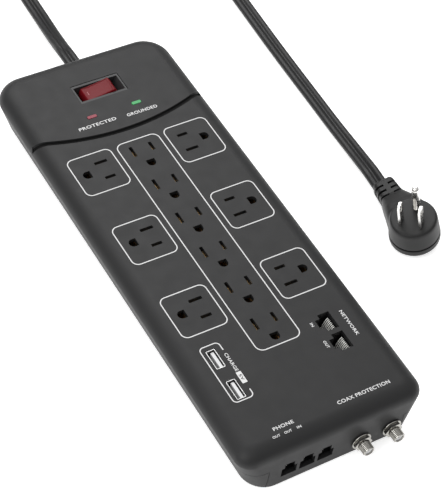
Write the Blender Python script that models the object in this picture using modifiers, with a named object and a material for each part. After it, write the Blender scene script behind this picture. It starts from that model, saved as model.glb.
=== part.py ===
"""Twelve-outlet surge protector power strip with its flat cord and angled plug.

Metres, +Z up.  +Y is the switch and cord end, -Y the phone and coax end, and the
strip stands on z = 0.  Every piece is its own object and every fit is worked out
from the sizes below.
"""

import math

import bmesh
import bpy
from mathutils import Matrix, Vector

# ---------------------------------------------------------------- driving sizes
GAP = 0.0003  # clearance between pieces that touch

# Casing
LENGTH = 0.314  # along Y
WIDTH = 0.118  # along X, at the widest line of the cover
FOOT_WIDTH = 0.099  # along X, where the base stands
HEIGHT = 0.035
BELT_Z = 0.0265  # height of the widest line
SEAM_Z = 0.0170  # cover and base meet here
WALL = 0.0026
ROUND_X = 0.0110  # how far the top edge rounds in along the sides
ROUND_Y = 0.0100  # and at the two ends
BELT_CORNER = 0.0180  # plan radius of the two back corners
FOOT_CORNER = 0.0140
FRONT_BELT_CORNER = 0.0100  # the two corners at the jacks are tighter
FRONT_FOOT_CORNERS = (0.0145, 0.0055)  # left, and right, where the outer coax jack needs a flat wall
FOOT_EDGE = 0.0012  # small rounding of the base's lower edge
TONGUE_LEFT = -0.041  # the cover's end panel reaches down to the floor from here
TONGUE_RIGHT = 0.046
PAD_LEFT = 0.033  # a thick pad behind the outer coax jack, where the corner curves away
PAD_DEEP = 0.0067

# Outlets, to the North American 15 A pattern
BLADE_SPACING = 0.0127
GROUND_OFFSET = 0.0119
SLOT_LONG = 0.0084  # neutral
SLOT_SHORT = 0.0068  # line
SLOT_WIDE = 0.0021
GROUND_HOLE = 0.0056
CENTRE_COUNT = 6
CENTRE_PITCH = 0.029
CENTRE_FIRST_Y = 0.067
SIDE_COUNT = 3
SIDE_PITCH = 0.058
SIDE_FIRST_Y = 0.0613
SIDE_X = 0.0279

# Brass contact rails
BRASS = 0.0007
RAIL_TOP = 0.0312
RAIL_DEEP = 0.0085
BLADE_GAP = 0.0023  # inside width of a blade rail
GROUND_GAP = 0.0050  # inside width of a ground rail
STRIP_WIDE = 0.0040
STRIP_DROP = 0.0030  # side strips run this far under their clips

# Groove across the top
GROOVE_WIDE = 0.0030
GROOVE_DEEP = 0.0015
GROOVE_RADIUS = 0.152
GROOVE_LOW_Y = 0.0858

# Switch
SWITCH_Y = 0.1238
SWITCH_LONG = 0.0328  # recess along X
SWITCH_WIDE = 0.0162
SWITCH_FLOOR_Z = 0.0125
ROCKER_LONG = 0.0184
ROCKER_WIDE = 0.0114
ROCKER_RISE = 0.0066  # pivot to the middle of its top
ROCKER_TILT = 9.0  # degrees to either side
PIVOT_Z = 0.0284
PIN_RADIUS = 0.0012
PIN_PLAY = 0.0003
ROCKER_PLAY = 0.0005

# Indicator lights
LIGHT_X = 0.0153
LIGHT_Y = 0.1035
LIGHT_LONG = 0.0062
LIGHT_WIDE = 0.0022

# USB ports
USB_X = -0.0383
USB_Y = -0.1010  # middle of the pair
USB_PITCH = 0.0224
USB_LONG = 0.0131
USB_WIDE = 0.0057
USB_WALL = 0.0004
USB_FLOOR_Z = 0.0165

# Network jacks
NET_X = 0.0325
NET_Y = -0.1014
NET_PITCH = 0.0150
NET_LONG = 0.0120  # along Y
NET_WIDE = 0.0074  # along X, without the latch slot
NET_LATCH_LONG = 0.0064
NET_LATCH_WIDE = 0.0032
NET_DEEP = 0.0140
NET_WALL = 0.0011

# Phone jacks, in the end panel
PHONE_FIRST_X = -0.0280
PHONE_PITCH = 0.0117
PHONE_COUNT = 3
PHONE_WIDE = 0.0098
PHONE_HIGH = 0.0068
PHONE_LATCH_WIDE = 0.0062
PHONE_LATCH_HIGH = 0.0036
PHONE_LOW_Z = 0.0071
PHONE_DEEP = 0.0120
PHONE_WALL = 0.0010

# Coax jacks, in the end panel
COAX_X = (0.0189, 0.0391)
COAX_Z = 0.0090
COAX_RADIUS = 0.0036
COAX_OUT = 0.0088
COAX_IN = 0.0090
WASHER_RADIUS = 0.0061
WASHER_THICK = 0.0008
NUT_RADIUS = 0.0058
NUT_THICK = 0.0022

# Boards and screws
BOARD = 0.0016
SCREW_PLACES = ((0.0425, 0.138), (0.0152, 0.0033), (0.0425, -0.128))
SCREW_RADIUS = 0.0013
SCREW_HEAD = 0.0028
SCREW_LONG = 0.0120
BOSS_HIGH = 0.0062
BOSS_RADIUS = 0.0046
POST_RADIUS = 0.0034
HEAD_DEEP = 0.0036

# Wall-mounting keyholes in the base
KEYHOLE_Y = (-0.0400, 0.0500)
KEYHOLE_X = 0.0
KEYHOLE_RADIUS = 0.0040
KEYHOLE_NECK = 0.0023
KEYHOLE_RUN = 0.0080

# Cord
CORD_WIDE = 0.0102
CORD_THICK = 0.0044
GLAND_X = 0.0042
GLAND_Z = 0.0172
GLAND_OUT = 0.0085
GLAND_IN = 0.0040
COIL_X = 0.0800
COIL_PAST_END = 0.1880  # from the strip's back end to the coil's middle
COIL_REACH = 0.0660  # to the middle of the cord where it joins the coil
COIL_TURNS = 4
COIL_STEP = 0.0047  # from one turn to the next
COIL_LIFT = 0.0012
TIE_THICK = 0.0008
TIE_WIDE = 0.0120

# Plug
PLUG_CENTRE = (0.1340, -0.0415)
PLUG_LEAN = 15.0  # degrees it rolls about its cord, so that it lies on one edge
PLUG_SWING = 4.0  # degrees its cord end swings towards +X
PLUG_TURN = 45.0  # degrees from the cord to the ground pin
PLUG_RADIUS = 0.0159
PLUG_HIGH = 0.0195
PLUG_RIM = 0.0046
PLUG_NECK_WIDE = 0.0140
PLUG_NECK_HIGH = 0.0116
PLUG_NECK_END = 0.0405  # from the disc's middle to the cord
PLUG_CORD_X = -0.0013  # where the cord's middle enters the neck
PLUG_CORD_Z = 0.0050
BLADE_LONG = 0.0176
BLADE_WIDE = 0.0063
BLADE_THICK = 0.0015
BLADE_SHIFT = 0.0045  # blades sit this far in front of the disc's middle
BLADE_HOLE = 0.0016
PIN_LONG = 0.0208
PIN_ROUND = 0.0024
SOCKET_DEEP = 0.0040

HALF_LENGTH = LENGTH / 2
COIL_CENTRE = (COIL_X, HALF_LENGTH + COIL_PAST_END)
END_INSIDE_Y = -HALF_LENGTH + WALL
TOP_INSIDE_Z = HEIGHT - WALL

# ------------------------------------------------------------------- the scene
for old in list(bpy.data.objects):
    bpy.data.objects.remove(old, do_unlink=True)

parts = bpy.data.collections.new("surge_protector_plug")
helpers = bpy.data.collections.new("cutters")
bpy.context.scene.collection.children.link(parts)
bpy.context.scene.collection.children.link(helpers)


def material(name, colour, roughness, metallic=0.0):
    made = bpy.data.materials.new(name)
    made.use_nodes = True
    shader = made.node_tree.nodes["Principled BSDF"]
    shader.inputs["Base Color"].default_value = (*colour, 1.0)
    shader.inputs["Roughness"].default_value = roughness
    shader.inputs["Metallic"].default_value = metallic
    made.diffuse_color = (*colour, 1.0)
    return made


CASE_BLACK = material("case_black", (0.055, 0.055, 0.057), 0.45)
BLACK = material("moulded_black", (0.020, 0.020, 0.022), 0.40)
RUBBER = material("cord_black", (0.035, 0.035, 0.037), 0.55)
ROCKER_RED = material("rocker_red", (0.45, 0.03, 0.03), 0.25)
LIGHT_RED = material("light_red", (0.60, 0.05, 0.08), 0.20)
LIGHT_GREEN = material("light_green", (0.10, 0.75, 0.25), 0.20)
BRASS_METAL = material("brass", (0.78, 0.57, 0.25), 0.30, 1.0)
NICKEL = material("nickel", (0.75, 0.75, 0.74), 0.22, 1.0)
STEEL = material("zinc_steel", (0.62, 0.62, 0.62), 0.35, 1.0)
WHITE = material("white_plastic", (0.85, 0.85, 0.83), 0.40)
BOARD_GREEN = material("board_green", (0.03, 0.20, 0.08), 0.45)
VARISTOR_BLUE = material("varistor_blue", (0.03, 0.10, 0.40), 0.35)


# ------------------------------------------------------------- making of shapes
def place(mesh_builder, name, finish=None, helper=False):
    """An object from a bmesh, in the part's collection or among the cutters."""
    mesh = bpy.data.meshes.new(name)
    bmesh.ops.recalc_face_normals(mesh_builder, faces=mesh_builder.faces)
    mesh_builder.to_mesh(mesh)
    mesh_builder.free()
    made = bpy.data.objects.new(name, mesh)
    if helper:
        helpers.objects.link(made)
        made.hide_render = True
        made.display_type = "WIRE"
    else:
        parts.objects.link(made)
        mesh.materials.append(finish)
    return made


def add_box(build, low, high, edge=0.0, steps=2, upright=True):
    """A box between two corners, with its upright edges or all of them rounded."""
    low, high = Vector(low), Vector(high)
    found = bmesh.ops.create_cube(build, size=1.0)["verts"]
    size = high - low
    bmesh.ops.scale(build, vec=size, verts=found)
    bmesh.ops.translate(build, vec=(low + high) / 2, verts=found)
    if edge:
        edges = {e for v in found for e in v.link_edges}
        if upright:
            edges = {e for e in edges if abs((e.verts[0].co - e.verts[1].co).z) > size.z / 2}
        bmesh.ops.bevel(build, geom=list(edges), offset=edge, segments=steps, affect="EDGES", profile=0.5)


def add_cylinder(build, start, radius, length, axis="Z", sides=24, end_radius=None):
    """A cylinder or cone from start, running length along +axis."""
    turn = {
        "Z": Matrix.Identity(4),
        "X": Matrix.Rotation(math.pi / 2, 4, "Y"),
        "Y": Matrix.Rotation(-math.pi / 2, 4, "X"),
    }[axis]
    shift = Matrix.Translation(Vector(start)) @ turn @ Matrix.Translation((0, 0, length / 2))
    bmesh.ops.create_cone(
        build,
        cap_ends=True,
        segments=sides,
        radius1=radius,
        radius2=radius if end_radius is None else end_radius,
        depth=length,
        matrix=shift,
    )


def rounded_ring(half_x, half_y, back, steps, front=None):
    """The points of a rounded rectangle, anticlockwise from above. front gives its -Y corners, left and right."""
    points = []
    for quarter, (side_x, side_y) in enumerate(((1, 1), (-1, 1), (-1, -1), (1, -1))):
        corner = back if side_y > 0 or front is None else front[side_x > 0]
        for step in range(steps + 1):
            angle = math.pi / 2 * (quarter + step / steps)
            x = side_x * (half_x - corner) + corner * math.cos(angle)
            y = side_y * (half_y - corner) + corner * math.sin(angle)
            points.append((x, y))
    return points


def add_loft(build, sections, steps=6, turn=Matrix.Identity(4)):
    """Rounded rectangles (half_x, half_y, corner, height) joined into one solid."""
    rings = []
    for half_x, half_y, corner, height, *front in sections:
        ring = rounded_ring(half_x, half_y, corner, steps, *front)
        rings.append([turn @ Vector((x, y, height)) for x, y in ring])
    bridge(build, rings)


def bridge(build, rings):
    """A solid skinned over rings of points, closed at both ends."""
    rings = [[build.verts.new(point) for point in ring] for ring in rings]
    for lower, upper in zip(rings, rings[1:]):
        for i in range(len(lower)):
            j = (i + 1) % len(lower)
            build.faces.new((lower[i], lower[j], upper[j], upper[i]))
    build.faces.new(list(reversed(rings[0])))
    build.faces.new(rings[-1])


def add_outline(build, outline, axis, start, stop):
    """A flat outline of (a, b) points pushed along an axis into a solid."""

    def spot(a, b, along):
        return {"X": (along, a, b), "Y": (a, along, b), "Z": (a, b, along)}[axis]

    near = [build.verts.new(spot(a, b, start)) for a, b in outline]
    far = [build.verts.new(spot(a, b, stop)) for a, b in outline]
    for i in range(len(near)):
        j = (i + 1) % len(near)
        build.faces.new((near[i], near[j], far[j], far[i]))
    build.faces.new(list(reversed(near)))
    build.faces.new(far)


def join(target, build, how="DIFFERENCE", overlapping=False):
    """Cuts the shapes in build from target, or unites them with it."""
    other = place(build, f"{target.name}_{how.lower()}_{len(target.modifiers)}", helper=True)
    other.matrix_basis = target.matrix_basis.copy()
    step = target.modifiers.new(how.lower(), "BOOLEAN")
    step.operation = how
    step.object = other
    step.use_self = overlapping
    return target


def smooth(made, degrees=35.0):
    made.data.shade_smooth()
    made.data.set_sharp_from_angle(angle=math.radians(degrees))
    return made


def new():
    return bmesh.new()


# --------------------------------------------------------------------- casing
def half_x_at(z):
    """Half the casing's width at a height below its widest line."""
    return FOOT_WIDTH / 2 + (WIDTH - FOOT_WIDTH) / 2 * z / BELT_Z


def corner_at(z):
    return FOOT_CORNER + (BELT_CORNER - FOOT_CORNER) * z / BELT_Z


def front_corners_at(z, inset):
    return tuple(foot + (FRONT_BELT_CORNER - foot) * z / BELT_Z - inset for foot in FRONT_FOOT_CORNERS)


def casing_sections(inset, low_z, arc_steps):
    """Sections of the casing's outside, or of its hollow where inset is a wall."""
    sections = []
    if inset == 0.0:
        half = FOOT_WIDTH / 2 - FOOT_EDGE
        front = front_corners_at(0, FOOT_EDGE)
        sections.append((half, HALF_LENGTH - FOOT_EDGE, FOOT_CORNER - FOOT_EDGE, 0.0, front))
        low_z = FOOT_EDGE
    for z in (low_z, BELT_Z):
        front = front_corners_at(z, inset)
        sections.append((half_x_at(z) - inset, HALF_LENGTH - inset, corner_at(z) - inset, z, front))
    rise = HEIGHT - inset - BELT_Z
    for step in range(1, arc_steps + 1):
        angle = math.pi / 2 * step / arc_steps
        in_x = (ROUND_X - inset / 2) * (1 - math.cos(angle))
        in_y = (ROUND_Y - inset / 2) * (1 - math.cos(angle))
        corner = BELT_CORNER - inset - (in_x + in_y) / 2
        z = BELT_Z + rise * math.sin(angle)
        front = ((FRONT_BELT_CORNER - inset) * (1 - 0.75 * (1 - math.cos(angle))),) * 2
        sections.append((WIDTH / 2 - inset - in_x, HALF_LENGTH - inset - in_y, corner, z, front))
    return sections


def outlets():
    """Every outlet's middle, and the direction from its blades to its ground hole."""
    found = []
    for i in range(CENTRE_COUNT):
        found.append((0.0, CENTRE_FIRST_Y - i * CENTRE_PITCH, (0, -1)))
    for side in (-1, 1):
        for i in range(SIDE_COUNT):
            found.append((side * SIDE_X, SIDE_FIRST_Y - i * SIDE_PITCH, (side, 0)))
    return found


def slot_boxes(x, y, towards):
    """Half sizes and middles of an outlet's neutral and line slots."""
    gx, gy = towards
    across = (gy, -gx)  # the neutral slot's side
    boxes = []
    for side, long in ((1, SLOT_LONG), (-1, SLOT_SHORT)):
        middle_x = x + side * across[0] * BLADE_SPACING / 2
        middle_y = y + side * across[1] * BLADE_SPACING / 2
        half_x = long / 2 if gx else SLOT_WIDE / 2
        half_y = long / 2 if gy else SLOT_WIDE / 2
        boxes.append((middle_x, middle_y, half_x, half_y))
    return boxes


def ground_outline(x, y, towards):
    """A D-shaped hole, round on the side away from the blades."""
    gx, gy = towards
    middle_x = x + gx * GROUND_OFFSET
    middle_y = y + gy * GROUND_OFFSET
    radius = GROUND_HOLE / 2
    facing = math.atan2(gy, gx)
    points = []
    for step in range(9):
        angle = facing - math.pi / 2 + math.pi * step / 8
        points.append((middle_x + radius * math.cos(angle), middle_y + radius * math.sin(angle)))
    for side in (1, -1):
        back = radius * 0.85
        points.append((middle_x - gx * back - gy * side * radius, middle_y - gy * back + gx * side * radius))
    return points


def stepped_outline(long, wide, latch_long, latch_wide, grow=0.0):
    """A jack's mouth: a rectangle with a narrower latch slot on its low side."""
    a, b = long / 2 + grow, latch_long / 2 + grow
    low, high = -wide / 2 - grow, wide / 2 + grow
    step = low - latch_wide
    return [(low, -a), (high, -a), (high, a), (low, a), (low, b), (step, b), (step, -b), (low, -b)]


def phone_outline(middle_x, grow=0.0):
    a, b = PHONE_WIDE / 2 + grow, PHONE_LATCH_WIDE / 2 + grow
    low, high = PHONE_LOW_Z - grow, PHONE_LOW_Z + PHONE_HIGH + grow
    top = high + PHONE_LATCH_HIGH
    return [
        (middle_x - a, low),
        (middle_x + a, low),
        (middle_x + a, high),
        (middle_x + b, high),
        (middle_x + b, top),
        (middle_x - b, top),
        (middle_x - b, high),
        (middle_x - a, high),
    ]


def phone_middles():
    return [PHONE_FIRST_X + i * PHONE_PITCH for i in range(PHONE_COUNT)]


def net_middles():
    return [NET_Y + NET_PITCH / 2, NET_Y - NET_PITCH / 2]


def usb_middles():
    return [USB_Y + USB_PITCH / 2, USB_Y - USB_PITCH / 2]


def screw_places():
    return [(side * x, y) for x, y in SCREW_PLACES for side in (-1, 1)]


def hollow(low_z):
    build = new()
    add_loft(build, casing_sections(WALL, low_z, 3))
    return build


def groove_outline():
    """The groove's curved band, seen from above."""
    reach = WIDTH / 2 + 0.002
    spread = math.asin(reach / GROOVE_RADIUS)
    centre_y = GROOVE_LOW_Y + GROOVE_RADIUS
    inner, outer = GROOVE_RADIUS - GROOVE_WIDE / 2, GROOVE_RADIUS + GROOVE_WIDE / 2
    steps = 12
    angles = [-math.pi / 2 - spread + 2 * spread * i / steps for i in range(steps + 1)]
    band = [(outer * math.cos(a), centre_y + outer * math.sin(a)) for a in angles]
    band += [(inner * math.cos(a), centre_y + inner * math.sin(a)) for a in reversed(angles)]
    return band


def gland_opening(build, grow):
    half_x, half_z = CORD_WIDE / 2 + 0.0008 + grow, CORD_THICK / 2 + 0.0008 + grow
    turn = Matrix.Translation((GLAND_X, HALF_LENGTH - WALL - 0.002, GLAND_Z)) @ Matrix.Rotation(-math.pi / 2, 4, "X")
    add_loft(build, [(half_x, half_z, half_z * 0.9, 0.0), (half_x, half_z, half_z * 0.9, WALL + 0.004)], 3, turn)


def make_cover():
    build = new()
    add_loft(build, casing_sections(0.0, 0.0, 6), steps=7)
    cover = place(build, "top_cover", CASE_BLACK)
    join(cover, hollow(-0.004))
    edge = SEAM_Z + GAP / 2
    reach = WIDTH
    build = new()
    add_box(build, (-reach, END_INSIDE_Y, -0.01), (reach, LENGTH, edge))
    join(cover, build)
    for near, far in ((-reach, TONGUE_LEFT), (TONGUE_RIGHT, reach)):
        build = new()
        add_box(build, (near, -LENGTH, -0.011), (far, END_INSIDE_Y + 0.001, edge))
        join(cover, build)
    build = new()
    near = (PAD_LEFT, END_INSIDE_Y - 0.0002, WALL + GAP)
    add_box(build, near, (TONGUE_RIGHT, -HALF_LENGTH + PAD_DEEP, edge + GAP))
    join(cover, build, "UNION")
    build = new()
    for x, y in screw_places():
        add_cylinder(build, (x, y, BOSS_HIGH + GAP), POST_RADIUS, TOP_INSIDE_Z - BOSS_HIGH, sides=14)
    join(cover, build, "UNION")
    build = new()
    add_outline(build, groove_outline(), "Z", HEIGHT - GROOVE_DEEP, HEIGHT + 0.004)
    join(cover, build)
    join(cover, cover_holes())
    build = new()
    gland_opening(build, GAP)
    return smooth(join(cover, build))


def cover_holes():
    """All the holes in the top and in the end panel, none touching another."""
    build = new()
    low, high = TOP_INSIDE_Z - 0.001, HEIGHT + 0.001
    for x, y, towards in outlets():
        for middle_x, middle_y, half_x, half_y in slot_boxes(x, y, towards):
            corner = (middle_x - half_x, middle_y - half_y, low)
            add_box(build, corner, (middle_x + half_x, middle_y + half_y, high))
        add_outline(build, ground_outline(x, y, towards), "Z", low, high)
    half_x, half_y = SWITCH_LONG / 2, SWITCH_WIDE / 2
    add_box(build, (-half_x, SWITCH_Y - half_y, low), (half_x, SWITCH_Y + half_y, high))
    half_x, half_y = LIGHT_LONG / 2 + GAP, LIGHT_WIDE / 2 + GAP
    for x in (-LIGHT_X, LIGHT_X):
        add_box(build, (x - half_x, LIGHT_Y - half_y, low), (x + half_x, LIGHT_Y + half_y, high))
    half_x, half_y = USB_WIDE / 2 + GAP, USB_LONG / 2 + GAP
    for y in usb_middles():
        add_box(build, (USB_X - half_x, y - half_y, low), (USB_X + half_x, y + half_y, high))
    mouth = stepped_outline(NET_LONG, NET_WIDE, NET_LATCH_LONG, NET_LATCH_WIDE)
    for middle_y in net_middles():
        add_outline(build, [(NET_X + a, middle_y + b) for a, b in mouth], "Z", low, high)
    for middle_x in phone_middles():
        add_outline(build, phone_outline(middle_x), "Y", -HALF_LENGTH - 0.001, END_INSIDE_Y + 0.001)
    for x in COAX_X:
        add_cylinder(build, (x, -HALF_LENGTH - 0.001, COAX_Z), COAX_RADIUS + GAP, PAD_DEEP + 0.002, "Y", 20)
    for x, y in screw_places():
        add_cylinder(build, (x, y, 0.0), SCREW_RADIUS + GAP, BOSS_HIGH + SCREW_LONG, sides=10)
    return build


def keyhole_cutters():
    build = new()
    for y in KEYHOLE_Y:
        points = []
        for step in range(11):
            angle = math.radians(125) + math.radians(290) * step / 10
            points.append((KEYHOLE_X + KEYHOLE_RADIUS * math.cos(angle), y + KEYHOLE_RADIUS * math.sin(angle)))
        for step in range(5):
            angle = math.pi * step / 4
            tip = (KEYHOLE_X + KEYHOLE_NECK * math.cos(angle), y + KEYHOLE_RUN + KEYHOLE_NECK * math.sin(angle))
            points.append(tip)
        add_outline(build, points, "Z", -0.002, WALL + 0.002)
    return build


def make_base():
    build = new()
    add_loft(build, casing_sections(0.0, 0.0, 4), steps=6)
    base = place(build, "base_cover", CASE_BLACK)
    join(base, hollow(WALL))
    build = new()
    add_box(build, (-WIDTH, -LENGTH, SEAM_Z - GAP / 2), (WIDTH, LENGTH, HEIGHT + 0.01))
    join(base, build)
    build = new()
    low, high = (TONGUE_LEFT - GAP, -LENGTH, -0.01), (TONGUE_RIGHT + GAP, END_INSIDE_Y + GAP, HEIGHT)
    add_box(build, low, high)
    join(base, build)
    build = new()
    high = (TONGUE_RIGHT + GAP, -HALF_LENGTH + PAD_DEEP + GAP, HEIGHT)
    add_box(build, (PAD_LEFT - GAP, -LENGTH, WALL), high)
    join(base, build)
    build = new()
    for x, y in screw_places():
        add_cylinder(build, (x, y, WALL / 2), BOSS_RADIUS, BOSS_HIGH - WALL / 2, sides=14)
    join(base, build, "UNION")
    build = new()
    for x, y in screw_places():
        add_cylinder(build, (x, y, -0.002), SCREW_HEAD + GAP * 2, HEAD_DEEP + 0.002, sides=14)
    join(base, build)
    build = new()
    for x, y in screw_places():
        add_cylinder(build, (x, y, HEAD_DEEP - 0.001), SCREW_RADIUS + GAP, BOSS_HIGH, sides=10)
    join(base, build)
    join(base, keyhole_cutters())
    build = new()
    gland_opening(build, GAP)
    return smooth(join(base, build))


def make_screws():
    for number, (x, y) in enumerate(screw_places(), 1):
        build = new()
        head_low = HEAD_DEEP - GAP - 0.0022
        add_cylinder(build, (x, y, head_low), SCREW_HEAD, 0.0022, sides=12)
        screw = place(build, f"case_screw_{number}", STEEL)
        build = new()
        add_cylinder(build, (x, y, head_low + 0.001), SCREW_RADIUS, SCREW_LONG, sides=8)
        smooth(join(screw, build, "UNION"))


# --------------------------------------------------------------------- switch
def make_switch():
    half_x, half_y = SWITCH_LONG / 2 - GAP, SWITCH_WIDE / 2 - GAP
    top = HEIGHT - GAP
    build = new()
    add_box(build, (-half_x, SWITCH_Y - half_y, SWITCH_FLOOR_Z), (half_x, SWITCH_Y + half_y, top))
    housing = place(build, "switch_housing", BLACK)
    swing = math.hypot(ROCKER_LONG / 2, ROCKER_RISE) + ROCKER_PLAY
    deep = PIVOT_Z - 0.0075
    build = new()
    inside = ROCKER_WIDE / 2 + ROCKER_PLAY
    pit = [(-swing, PIVOT_Z - 0.001), (-0.0060, deep), (0.0060, deep), (swing, PIVOT_Z - 0.001)]
    rim = half_x - 0.0011
    pit += [(rim, top - 0.0008), (rim, top + 0.001), (-rim, top + 0.001), (-rim, top - 0.0008)]
    add_outline(build, pit, "Y", SWITCH_Y - inside, SWITCH_Y + inside)
    join(housing, build)
    build = new()
    add_cylinder(build, (0, SWITCH_Y - half_y - 0.001, PIVOT_Z), PIN_RADIUS + PIN_PLAY, 2 * half_y + 0.002, "Y", 16)
    join(housing, build)

    corner = math.atan2(ROCKER_RISE, ROCKER_LONG / 2)
    radius = math.hypot(ROCKER_LONG / 2, ROCKER_RISE)
    low = math.radians(6.0)
    arc = [corner + (low - corner) * i / 4 for i in range(5)]
    right = [(radius * math.cos(a), radius * math.sin(a)) for a in arc]
    left = [(-x, z) for x, z in reversed(right)]
    under = [(0.0048, -0.0052), (-0.0048, -0.0052)]
    middle = [(0.0, ROCKER_RISE - 0.0005)]
    outline = right + under + left + middle
    build = new()
    add_outline(build, outline, "Y", -ROCKER_WIDE / 2, ROCKER_WIDE / 2)
    rocker = place(build, "switch_rocker", ROCKER_RED)
    rocker.location = (0, SWITCH_Y, PIVOT_Z)
    rocker.rotation_euler = (0, math.radians(-ROCKER_TILT), 0)
    build = new()
    pin_reach = half_y - GAP
    add_cylinder(build, (0, -pin_reach, 0), PIN_RADIUS, 2 * pin_reach, "Y", 12)
    join(rocker, build, "UNION")

    for number, x in enumerate((-0.0105, 0.0, 0.0105), 1):
        build = new()
        high = SWITCH_FLOOR_Z - GAP
        add_box(build, (x - 0.0031, SWITCH_Y - 0.0004, high - 0.0065), (x + 0.0031, SWITCH_Y + 0.0004, high))
        place(build, f"switch_terminal_{number}", BRASS_METAL)


def make_lights():
    for name, x, finish in (("light_protected", -LIGHT_X, LIGHT_RED), ("light_grounded", LIGHT_X, LIGHT_GREEN)):
        build = new()
        low = (x - LIGHT_LONG / 2, LIGHT_Y - LIGHT_WIDE / 2, TOP_INSIDE_Z - 0.0035)
        high = (x + LIGHT_LONG / 2, LIGHT_Y + LIGHT_WIDE / 2, HEIGHT + 0.0002)
        add_box(build, low, high, edge=0.0007, steps=2)
        smooth(place(build, name, finish))
    build = new()
    top = TOP_INSIDE_Z - 0.0035 - GAP
    reach = LIGHT_X + LIGHT_LONG
    add_box(build, (-reach, LIGHT_Y - 0.0045, top - BOARD), (reach, LIGHT_Y + 0.0045, top))
    place(build, "light_board", BOARD_GREEN)


# --------------------------------------------------------------- contact rails
def rail_outline(gap, low, high):
    """The U-shaped section of a rail that grips a blade or a ground pin."""
    inner, outer = gap / 2, gap / 2 + BRASS
    return [
        (-outer, low),
        (outer, low),
        (outer, high),
        (inner, high),
        (inner, low + BRASS),
        (-inner, low + BRASS),
        (-inner, high),
        (-outer, high),
    ]


def straight_rail(name, x, gap, start_y, stop_y):
    build = new()
    outline = [(x + a, b) for a, b in rail_outline(gap, RAIL_TOP - RAIL_DEEP, RAIL_TOP)]
    add_outline(build, outline, "Y", start_y, stop_y)
    return place(build, name, BRASS_METAL)


def make_rails():
    last_y = CENTRE_FIRST_Y - (CENTRE_COUNT - 1) * CENTRE_PITCH
    ends = (last_y - SLOT_LONG, CENTRE_FIRST_Y + SLOT_LONG)
    straight_rail("centre_neutral_rail", -BLADE_SPACING / 2, BLADE_GAP, *ends)
    straight_rail("centre_line_rail", BLADE_SPACING / 2, BLADE_GAP, *ends)
    straight_rail("centre_ground_rail", 0.0, GROUND_GAP - 0.0002, last_y - GROUND_OFFSET - 0.006, ends[1] - 0.008)
    side_last = SIDE_FIRST_Y - (SIDE_COUNT - 1) * SIDE_PITCH
    for side, word in ((-1, "left"), (1, "right")):
        ground_x = side * (SIDE_X + GROUND_OFFSET)
        straight_rail(f"{word}_ground_rail", ground_x, GROUND_GAP, side_last - 0.007, SIDE_FIRST_Y + 0.007)
        # Neutral slots sit at +Y on the left column and at -Y on the right one.
        for role, turn, strip_x in (("neutral", -side, -0.0034), ("line", side, 0.0034)):
            side_rail(f"{word}_{role}_rail", side * SIDE_X, turn, side * strip_x, side_last)


def side_rail(name, x, turn, strip_shift, last_y):
    """A strip along Y with one clip across it under each outlet's slot."""
    low = RAIL_TOP - RAIL_DEEP + 0.001
    strip_x = x + strip_shift
    strip_low = low - STRIP_DROP
    build = new()
    start_y = last_y + turn * BLADE_SPACING / 2 - 0.004
    stop_y = SIDE_FIRST_Y + turn * BLADE_SPACING / 2 + 0.004
    half = STRIP_WIDE / 2
    add_box(build, (strip_x - half, start_y, strip_low), (strip_x + half, stop_y, strip_low + BRASS))
    rail = place(build, name, BRASS_METAL)
    build = new()
    for i in range(SIDE_COUNT):
        middle_y = SIDE_FIRST_Y - i * SIDE_PITCH + turn * BLADE_SPACING / 2
        outline = [(middle_y + a, b) for a, b in rail_outline(BLADE_GAP, low, RAIL_TOP)]
        add_outline(build, outline, "X", x - SLOT_LONG / 2, x + SLOT_LONG / 2)
    join(rail, build, "UNION")
    build = new()
    for i in range(SIDE_COUNT):
        middle_y = SIDE_FIRST_Y - i * SIDE_PITCH + turn * BLADE_SPACING / 2
        corner = (strip_x - 0.0007, middle_y - 0.0014, strip_low + BRASS / 2)
        add_box(build, corner, (strip_x + 0.0007, middle_y + 0.0014, low + BRASS / 2))
    return join(rail, build, "UNION")


def make_carriers():
    """Plastic beds that stand on the base and hold the rails from below."""
    last_y = CENTRE_FIRST_Y - (CENTRE_COUNT - 1) * CENTRE_PITCH
    side_last = SIDE_FIRST_Y - (SIDE_COUNT - 1) * SIDE_PITCH
    side_top = RAIL_TOP - RAIL_DEEP + 0.001 - STRIP_DROP - GAP
    beds = [("centre_rail_bed", -0.0090, 0.0090, last_y - 0.019, CENTRE_FIRST_Y + 0.009, RAIL_TOP - RAIL_DEEP - GAP)]
    inner, outer = SIDE_X - 0.0060, SIDE_X + 0.0060
    beds.append(("left_rail_bed", -outer, -inner, side_last - 0.012, SIDE_FIRST_Y + 0.012, side_top))
    beds.append(("right_rail_bed", inner, outer, side_last - 0.012, SIDE_FIRST_Y + 0.012, side_top))
    for name, x0, x1, y0, y1, top in beds:
        build = new()
        add_box(build, (x0, y0, top - 0.0025), (x1, y1, top))
        bed = place(build, name, BLACK)
        build = new()
        count = 4
        for i in range(count):
            y = y0 + 0.004 + (y1 - y0 - 0.008) * i / (count - 1)
            add_box(build, (x0 + 0.0015, y - 0.0015, WALL + GAP), (x1 - 0.0015, y + 0.0015, top - 0.001))
        join(bed, build, "UNION")


# ------------------------------------------------------------ boards and parts
def make_surge_board():
    low = WALL + 0.004
    y = (GROOVE_LOW_Y + LIGHT_Y) / 2
    build = new()
    add_box(build, (-0.040, y - 0.0125, low), (0.040, y + 0.0125, low + BOARD))
    place(build, "surge_board", BOARD_GREEN)
    for number, x in enumerate((-0.0260, -0.0070, 0.0120), 1):
        build = new()
        radius = 0.0068
        add_cylinder(build, (x, y - 0.0021, low + BOARD + GAP + radius), radius, 0.0042, "Y", 20)
        smooth(place(build, f"varistor_{number}", VARISTOR_BLUE))


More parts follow.
